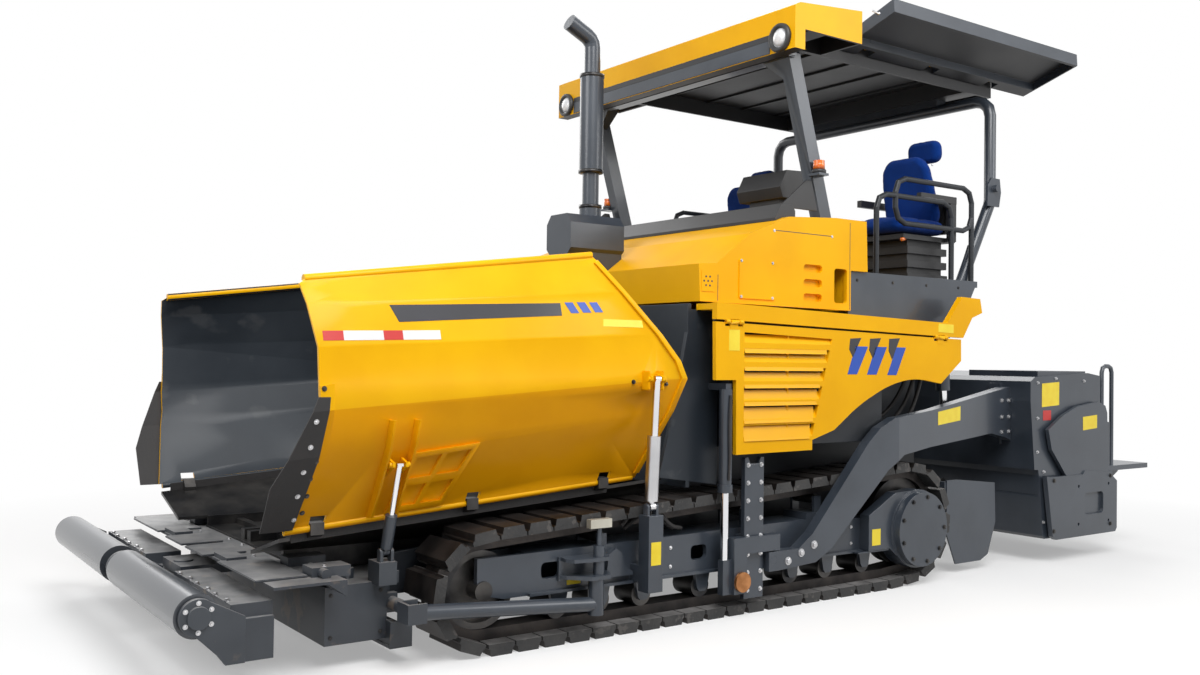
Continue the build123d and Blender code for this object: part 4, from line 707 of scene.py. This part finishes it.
# -------------------------------- struts of the canopy flaps
for tag, s in SIDES:
    lo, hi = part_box("canopy_flap_" + tag)
    y_far = hi.y if s > 0 else -lo.y
    start = Vector((hi.x - 0.030, s * (y_far - 0.10), hi.z - 0.075))
    way = Vector((hi.x + 0.030, s * (y_far - 0.14), hi.z - 0.045)) - start
    strut = ((0.011, 0.0), (0.011, 0.04), (0.006, 0.042), (0.006, way.length))
    lathe("flap_strut_" + tag, "canopy_flap_" + tag, strut, start, way, STEEL, segments=20)

# -------------------------------- ribs under the roof
RIBS, RIB_REAR, RIB_PITCH, RIB_HALF = 4, 0.42, 0.36, 0.825
lo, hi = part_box("roof")
for k in range(RIBS):
    x = lo.x + RIB_REAR + k * RIB_PITCH
    block("roof_rib_%d" % k, "tractor", (x, -RIB_HALF, hi.z - 0.098),
          (x + 0.022, RIB_HALF, hi.z - 0.085), BLACK, 0.003)

# -------------------------------- hoses
lo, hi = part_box("track_frames")
y = hi.y - 0.045
hose("hose_frame_a", [(1.33, y - 0.03, 0.52), (1.25, y - 0.01, 0.60), (1.12, y - 0.02, 0.58),
     (1.02, y - 0.02, 0.50), (0.93, y - 0.05, 0.475)], 0.011, RUBBER)
hose("hose_frame_b", [(1.30, y - 0.05, 0.50), (1.20, y - 0.03, 0.56), (1.08, y - 0.04, 0.53),
     (0.98, y - 0.06, 0.475)], 0.010, RUBBER)
# (dx, y, z) and (dx, dy, dz) of the points
POST_ROUTE = ((-0.022, 1.225, 0.55), (-0.045, 1.215, 0.47), (-0.040, 1.20, 0.36),
              (-0.075, 1.16, 0.30))
LEVEL_ROUTE = ((0.045, 0.002, -0.06), (0.055, 0.006, -0.20), (0.050, 0.004, -0.40),
               (0.052, 0.002, -0.50))
lo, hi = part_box("main_barrel_l")
for tag, s in SIDES:
    hose("hose_post_" + tag, [(lo.x + dx, s * y, z) for dx, y, z in POST_ROUTE], 0.009, RUBBER)
for tag, s in SIDES:
    for k in range(3):
        top, normal = hit("platform", (-1.17 + 0.05 * k, s * (1.065 - 0.01 * k), 0), UP)
        low, normal = hit("hull", (-FAR, s * (1.06 - 0.05 * k), 0.93 + 0.03 * k), AHEAD)
        route = [top, top + Vector((0.03, 0, -0.22)), top + Vector((0.08, 0, -0.45)),
                 low + Vector((-0.28, 0, 0.02 * k)), low]
        hose("hose_rear_%s%d" % (tag, k), route, 0.013, RUBBER)
lo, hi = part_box("lev_barrels")
for tag, s in SIDES:
    route = [(lo.x + dx, s * (hi.y + dy), hi.z + dz) for dx, dy, dz in LEVEL_ROUTE]
    hose("hose_level_" + tag, route, 0.007, RUBBER)

# -------------------------------- lining of the hood's slots
lo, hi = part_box("hood")
LINING_Y, LINING_HALF = hi.y - 0.034, 0.0015
for tag, s in SIDES:
    side_block("slot_lining_" + tag, BODY["hood"], s, (lo.x + 0.375, lo.x + 0.555),
               (LINING_Y - LINING_HALF, LINING_Y + LINING_HALF), (lo.z + 0.03, lo.z + 0.265),
               YELLOW, 0.001)

# -------------------------------- ears that hold the hopper cylinder's rod
EAR_Y, EAR_THICK, PIN_Y = (1.207, 1.272), 0.010, 1.252
EAR_PIN = ((0.014, 0.0), (0.016, 0.003), (0.016, 0.016), (0.011, 0.019))
for tag, s in SIDES:
    wing = "wing_" + tag
    lo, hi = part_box("main_rod_" + tag)
    x, z = (lo.x + hi.x) / 2, hi.z - 0.022
    for k, dx in enumerate((-0.040, 0.046)):
        side_block("rod_ear_%s%d" % (tag, k), wing, s, (x + dx, x + dx + EAR_THICK), EAR_Y,
                   (z - 0.05, z + 0.045), YELLOW)
    lathe("rod_pin_" + tag, wing, EAR_PIN, (x - 0.061, s * PIN_Y, z), AHEAD, YELLOW, segments=24)
    bolts("ear_bolt_" + tag, wing, [(x + 0.11, z - 0.01), (x - 0.10, z - 0.02)], DARKSTEEL,
          r=0.008, sides=(s,))

# -------------------------------- beam across the front hoops
BEAM_HALF = 1.015
lo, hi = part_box("roof")
block("roof_beam", "tractor", (lo.x + 2.085, -BEAM_HALF, lo.z + 0.012),
      (lo.x + 2.150, BEAM_HALF, lo.z + 0.105), SLATE, 0.006)

# -------------------------------- cover plates of the deck
COVER_THICK = 0.009
COVERS = (((2.93, 3.135), (0.03, 0.32)), ((2.90, 3.125), (0.50, 1.02)))
for tag, s in SIDES:
    for k, (xs, ys) in enumerate(COVERS):
        place, normal = hit("front_beam", (xs[0] + 0.05, s * (ys[0] + ys[1]) / 2, 2), (0, 0, -1))
        side_block("deck_cover_%s%d" % (tag, k), "tractor", s, xs, ys,
                   (place.z, place.z + COVER_THICK), DECKING, 0.003)

# -------------------------------- slate band low on the fascia, and above it a black strip: painted shadow of the gap between fascia and beam
BAND_HALF = 0.985
lo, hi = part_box("roof")
# the black strip is painted shadow, standing for the shaded gap over the slate band
for name, z0, z1, look_mat in (("fascia_band", 0.004, 0.078, SLATE),
                               ("fascia_painted_shadow", 0.078, 0.112, BLACK)):
    block(name, "tractor", (hi.x + 0.0002, -BAND_HALF, lo.z + z0),
          (hi.x + 0.0040, BAND_HALF, lo.z + z1), look_mat, 0.0012)

# -------------------------------- seal behind the slit over the doors
SEAL_Y = (1.172, 1.196)
lo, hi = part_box("door_l")
for tag, s in SIDES:
    side_block("seal_" + tag, "tractor", s, (lo.x + 0.03, hi.x - 0.05), SEAL_Y,
               (hi.z - 0.055, hi.z + 0.028), RUBBER, 0.003)

# -------------------------------- bolts of the screed
bolts("screed_side_bolts", "screed", in_box("screed", ((0.262, 0.93), (0.262, 0.72), (0.262, 0.52),
      (0.20, 0.955), (0.10, 0.94), (0.16, 0.60), (0.24, 0.40), (0.24, 0.10), (0.18, 0.08),
      (0.06, 0.70))), STEEL, r=0.008, sides=BOTH)

# -------------------------------- rubber lip between conveyor side and wing
LIP_ENDS = ((2.95, 0.548, 0.612), (1.30, 0.664, 0.734))  # x, lower and upper edge
APRON_Y = (0.9405, 0.9445)
BOX_FACES = ((0, 1, 3, 2), (4, 6, 7, 5), (0, 4, 5, 1), (2, 3, 7, 6), (0, 2, 6, 4), (1, 5, 7, 3))
for tag, s in SIDES:
    corners = [(x, s * y, z) for x, z0, z1 in LIP_ENDS for y in APRON_Y for z in (z0, z1)]
    name = "apron_" + tag
    finish_mesh(name, solid_of(name, corners, BOX_FACES), RUBBER, "tractor")

# -------------------------------- rounded corners of the door's arch
ARCH = ((0.130, 0.915), (-0.045, 0.965), (-0.250, 1.102), (-0.509, 1.215), (-0.735, 1.256),
        (-0.990, 1.222))
ARCH_STEPS, ARCH_Y = 8, (0.001, 0.0255)
lo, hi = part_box("door_l")
for tag, s in SIDES:
    bm = bmesh.new()
    for before, corner, after in zip(ARCH, ARCH[1:], ARCH[2:]):
        before, corner, after = Vector(before), Vector(corner), Vector(after)
        reach = 0.5 * min((before - corner).length, (after - corner).length)
        start = corner + (before - corner).normalized() * reach
        stop = corner + (after - corner).normalized() * reach
        ring = [corner + Vector((0, 0.0005))]
        for t in [step / ARCH_STEPS for step in range(ARCH_STEPS + 1)]:
            ring.append(start.lerp(corner, t).lerp(corner.lerp(stop, t), t))
        near, far = [[bm.verts.new((p.x, s * (lo.y + dy), p.y)) for p in ring] for dy in ARCH_Y]
        for k in range(1, len(ring) - 1):
            bm.faces.new((near[0], near[k], near[k + 1]))
            bm.faces.new((far[0], far[k + 1], far[k]))
        for k in range(len(ring)):
            m = (k + 1) % len(ring)
            bm.faces.new((near[k], far[k], far[m], near[m]))
    name = "arch_" + tag
    finish_mesh(name, mesh_of(bm, name, closed=True), YELLOW, "door_" + tag)

# -------------------------------- cushions
EDGE_ROUND, RIM_THIN, SEAM_DEEP = 0.40, 0.35, 0.09  # shares of a cushion's thickness
SWELL, FRAMES = 0.004, 16
CLOTH = (("quality", 5), ("mass", 0.3), ("tension_stiffness", 18), ("compression_stiffness", 18),
         ("bending_stiffness", 0.6), ("use_pressure", True), ("uniform_pressure_force", 9),
         ("vertex_group_mass", "held"), ("shrink_min", -0.03))


def stuffed(p, size, corner, taper):
    """Moves a block's point to where a stuffed one has it: rounded, narrower at its high X."""
    core = Vector([max(-s / 2 + corner, min(s / 2 - corner, c)) for s, c in zip(size.xy, p.xy)])
    off = p.xy - core
    if off.length > corner:
        p.xy = core + off * (corner / off.length)
    edge = abs(2 * p.z / size.z) ** 3
    p.x *= 1 - edge * EDGE_ROUND * size.z / size.x
    p.y *= 1 - edge * EDGE_ROUND * size.z / size.y
    p.y *= 1 - taper * (p.x / size.x + 0.5) ** 2
    rim = max(abs(2 * p.x / size.x), abs(2 * p.y / size.y)) ** 6
    p.z *= 1 - RIM_THIN * rim
    return p


def stuffed_mesh(name, size, cuts, seams, corner, taper):
    """Closed grid of a stuffed block, and its vertices that hold: bottom, rim and seams."""
    nx, ny, nz = cuts
    bm = bmesh.new()
    grid = {}
    for i in range(nx + 1):
        for j in range(ny + 1):
            for k in range(nz + 1):
                if i in (0, nx) or j in (0, ny) or k in (0, nz):
                    p = Vector([(at / n - 0.5) * s for at, n, s in zip((i, j, k), cuts, size)])
                    grid[(i, j, k)] = bm.verts.new(stuffed(p, size, corner, taper))

    def quad(*keys):
        bm.faces.new([grid[key] for key in keys])
    for i in range(nx):
        for j in range(ny):
            quad((i, j, 0), (i, j + 1, 0), (i + 1, j + 1, 0), (i + 1, j, 0))
            quad((i, j, nz), (i + 1, j, nz), (i + 1, j + 1, nz), (i, j + 1, nz))
    for i in range(nx):
        for k in range(nz):
            quad((i, 0, k), (i + 1, 0, k), (i + 1, 0, k + 1), (i, 0, k + 1))
            quad((i, ny, k), (i, ny, k + 1), (i + 1, ny, k + 1), (i + 1, ny, k))
    for j in range(ny):
        for k in range(nz):
            quad((0, j, k), (0, j, k + 1), (0, j + 1, k + 1), (0, j + 1, k))
            quad((nx, j, k), (nx, j + 1, k), (nx, j + 1, k + 1), (nx, j, k + 1))
    held = []
    bm.verts.index_update()
    for (i, j, k), v in grid.items():
        place = {"x": (i, nx), "y": (j, ny)}
        on_seam = k == nz and any(abs(place[axis][0] / place[axis][1] - at) < 0.5 / place[axis][1]
                                  for axis, at in seams)
        rim = k == nz // 2 and (i in (0, nx) or j in (0, ny))
        if k == 0 or on_seam or rim:
            held.append(v.index)
        if on_seam and 0 < i < nx and 0 < j < ny:
            v.co.z -= size.z * SEAM_DEEP
    return mesh_of(bm, name), held


def inflated(name, mesh, held):
    """Mesh of the block after a cloth simulation with pressure inside."""
    obj = bpy.data.objects.new(name + "_rest", mesh)
    scene.collection.objects.link(obj)
    obj.vertex_groups.new(name="held").add(held, 1.0, "REPLACE")
    cloth = obj.modifiers.new("cloth", "CLOTH")
    for setting, value in CLOTH:
        setattr(cloth.settings, setting, value)
    cloth.settings.effector_weights.gravity = 0.0
    cloth.point_cache.frame_start = 1
    cloth.point_cache.frame_end = FRAMES
    for f in range(1, FRAMES + 1):
        scene.frame_set(f)
    drawn = obj.evaluated_get(bpy.context.evaluated_depsgraph_get())
    done = bpy.data.meshes.new_from_object(drawn)
    bpy.data.objects.remove(obj)
    scene.frame_set(1)
    return done


def cushion(name, lo, hi, tilt, seams, mat, cuts=(22, 20, 8), corner=0.07, taper=0.0):
    """Stuffed block between two corners, turned about Y. seams: axis and share along it."""
    size = Vector(hi) - Vector(lo)
    mesh, held = stuffed_mesh(name, size, cuts, seams, corner, taper)
    done = inflated(name, mesh, held)
    done.name = name
    reach = [max(abs(v.co[a]) for v in done.vertices) for a in range(3)]
    for v in done.vertices:
        for a in range(3):
            limit = size[a] / 2 + SWELL
            if reach[a] > limit:
                v.co[a] *= limit / reach[a]
    middle = (Vector(lo) + Vector(hi)) / 2
    done.transform(Matrix.Translation(middle) @ Matrix.Rotation(math.radians(tilt), 4, "Y"))
    done.materials.clear()
    obj = finish_mesh(name, done, mat, "tractor", smooth=True)
    soft = obj.modifiers.new("smooth", "SUBSURF")
    soft.levels = soft.render_levels = 1
    return obj


BACK_LEAN, HEAD_LEAN = 14, 6  # degrees; both are built flat and stood up
SEAT_REAR, SEAT_IN, SEAT_OUT = 0.105, 0.436, 0.004
LEVER = ((0.006, 0.0), (0.006, 0.06), (0.012, 0.065), (0.012, 0.13), (0.004, 0.135))
lo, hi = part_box("seats")
low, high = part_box("seat_bases")
for tag, s in SIDES:
    ya, yb = sorted((s * (hi.y - SEAT_OUT), s * (hi.y - SEAT_IN)))
    x = lo.x + SEAT_REAR
    base = cushion("seat_cushion_" + tag, (x, ya, lo.z + 0.001), (hi.x - 0.003, yb, lo.z + 0.122),
                   0, (("y", 0.25), ("y", 0.75), ("x", 0.45)), FABRIC)
    cushion("seat_back_" + tag, (x - 0.12, ya + 0.004, lo.z + 0.246),
            (x + 0.36, yb - 0.004, lo.z + 0.346), -90 + BACK_LEAN,
            (("y", 0.22), ("y", 0.78), ("x", 0.35)), FABRIC, cuts=(24, 20, 6), corner=0.11,
            taper=0.22)
    cushion("seat_head_" + tag, (lo.x - 0.008, ya + 0.09, lo.z + 0.545),
            (lo.x + 0.142, yb - 0.09, lo.z + 0.640), -90 + HEAD_LEAN, (), FABRIC,
            cuts=(12, 14, 6), corner=0.06)
    if tag == "l":
        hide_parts("seats")
    for k, dy in enumerate((0.16, 0.27)):
        y = s * (hi.y - dy)
        post = [(lo.x + 0.065, y, lo.z + 0.50), (lo.x + 0.06, y, lo.z + 0.60)]
        hose("head_post_%s%d" % (tag, k), post, 0.007, STEEL, soft=False)
    # black shell behind the back and beside it
    side_block("seat_shell_" + tag, "tractor", s, (lo.x + 0.045, lo.x + 0.12),
               (hi.y - 0.43, hi.y - 0.01), (lo.z + 0.03, lo.z + 0.26), PLASTIC, 0.02)
    lathe("seat_lever_" + tag, "tractor", LEVER, (high.x - 0.10, s * (hi.y - 0.05), lo.z - 0.02),
          (0.9, 0.35 * s, -0.15), AMBER, segments=16)

# -------------------------------- knobs on the platform
KNOB = ((0.045, 0.0), (0.045, 0.020), (0.030, 0.028), (0.028, 0.075), (0.046, 0.085),
        (0.048, 0.130), (0.036, 0.140))
lo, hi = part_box("platform")
for tag, s in SIDES:
    lathe("knob_" + tag, "tractor", KNOB, (lo.x + 0.28, s * (hi.y - 0.22), hi.z), UP, PLASTIC)

# -------------------------------- floor, sky and lamps
FLOOR_SIZE, FLOOR_BOUNCE, FLOOR_SEEN = 160, 0.30, 0.93
FADE_NEAR, FADE_FAR, FADE_LEAST = 3.4, 6.5, 0.35  # the floor turns white between these distances
SKY_LIGHT, SKY_SEEN = 0.24, 1.0
AIM = (0, 0, 1.2)
# name, place, size, power
LAMPS = (("key", (2.5, 5.5, 7.0), 5.0, 540), ("front", (8.0, 1.0, 5.5), 4.0, 230),
         ("left", (-4.5, 7.0, 5.0), 4.0, 190), ("rear", (-7.0, -4.0, 7.0), 5.0, 220),
         ("right", (1.0, -8.0, 6.0), 5.0, 220))


def seen_directly(nodes, links):
    """1 for camera, glossy and transmission rays, which meet the white background."""
    rays = nodes.new("ShaderNodeLightPath").outputs
    total = rays["Is Camera Ray"]
    for kind in ("Is Glossy Ray", "Is Transmission Ray"):
        total = maths(nodes, links, "MAXIMUM", total, rays[kind])
    return total


def blend(nodes, links, share, first, second, target):
    """Mixes two shaders into a target's surface."""
    mix = nodes.new("ShaderNodeMixShader")
    links.new(share, mix.inputs["Fac"])
    links.new(first, mix.inputs[1])
    links.new(second, mix.inputs[2])
    links.new(mix.outputs["Shader"], nodes[target].inputs["Surface"])


def lay_floor():
    """White floor that gives back less light than it shows, and fades into the sky."""
    bpy.ops.mesh.primitive_plane_add(size=FLOOR_SIZE, location=(0, 0, 0))
    floor = bpy.context.object
    floor.name = "floor"
    mat = bpy.data.materials.new("floor")
    nodes, links, bsdf = nodes_of(mat)
    bsdf.inputs["Roughness"].default_value = 0.9
    bsdf.inputs["Specular IOR Level"].default_value = 0.1
    direct = seen_directly(nodes, links)
    tone = nodes.new("ShaderNodeMixRGB")
    tone.inputs["Color1"].default_value = (FLOOR_BOUNCE, FLOOR_BOUNCE, FLOOR_BOUNCE, 1)
    tone.inputs["Color2"].default_value = (FLOOR_SEEN, FLOOR_SEEN, FLOOR_SEEN, 1)
    links.new(direct, tone.inputs["Fac"])
    links.new(tone.outputs["Color"], bsdf.inputs["Base Color"])
    white = nodes.new("ShaderNodeEmission")
    white.inputs["Color"].default_value = (1, 1, 1, 1)
    coord = nodes.new("ShaderNodeTexCoord")
    reach = nodes.new("ShaderNodeVectorMath")
    reach.operation = "LENGTH"
    links.new(coord.outputs["Object"], reach.inputs[0])
    fade = map_range(nodes, links, reach.outputs["Value"], from_min=FADE_NEAR, from_max=FADE_FAR,
                     to_min=FADE_LEAST)
    blend(nodes, links, maths(nodes, links, "MULTIPLY", fade, direct), bsdf.outputs["BSDF"],
          white.outputs["Emission"], "Material Output")
    floor.data.materials.append(mat)


def light_up():
    """White sky, weaker as a light than as a background, and five area lamps."""
    world = bpy.data.worlds.new("studio")
    scene.world = world
    world.use_nodes = True
    nodes, links = world.node_tree.nodes, world.node_tree.links
    skies = (nodes["Background"], nodes.new("ShaderNodeBackground"))
    for sky, strength in zip(skies, (SKY_LIGHT, SKY_SEEN)):
        sky.inputs["Color"].default_value = (1, 1, 1, 1)
        sky.inputs["Strength"].default_value = strength
    blend(nodes, links, seen_directly(nodes, links), *[sky.outputs["Background"] for sky in skies],
          "World Output")
    for name, at, size, power in LAMPS:
        data = bpy.data.lights.new(name, "AREA")
        data.shape = "DISK"
        data.size = size
        data.energy = power
        lamp = bpy.data.objects.new(name, data)
        scene.collection.objects.link(lamp)
        lamp.location = at
        lamp.rotation_euler = (Vector(AIM) - Vector(at)).to_track_quat("-Z", "Y").to_euler()


lay_floor()
light_up()
scene.view_settings.view_transform = "Standard"
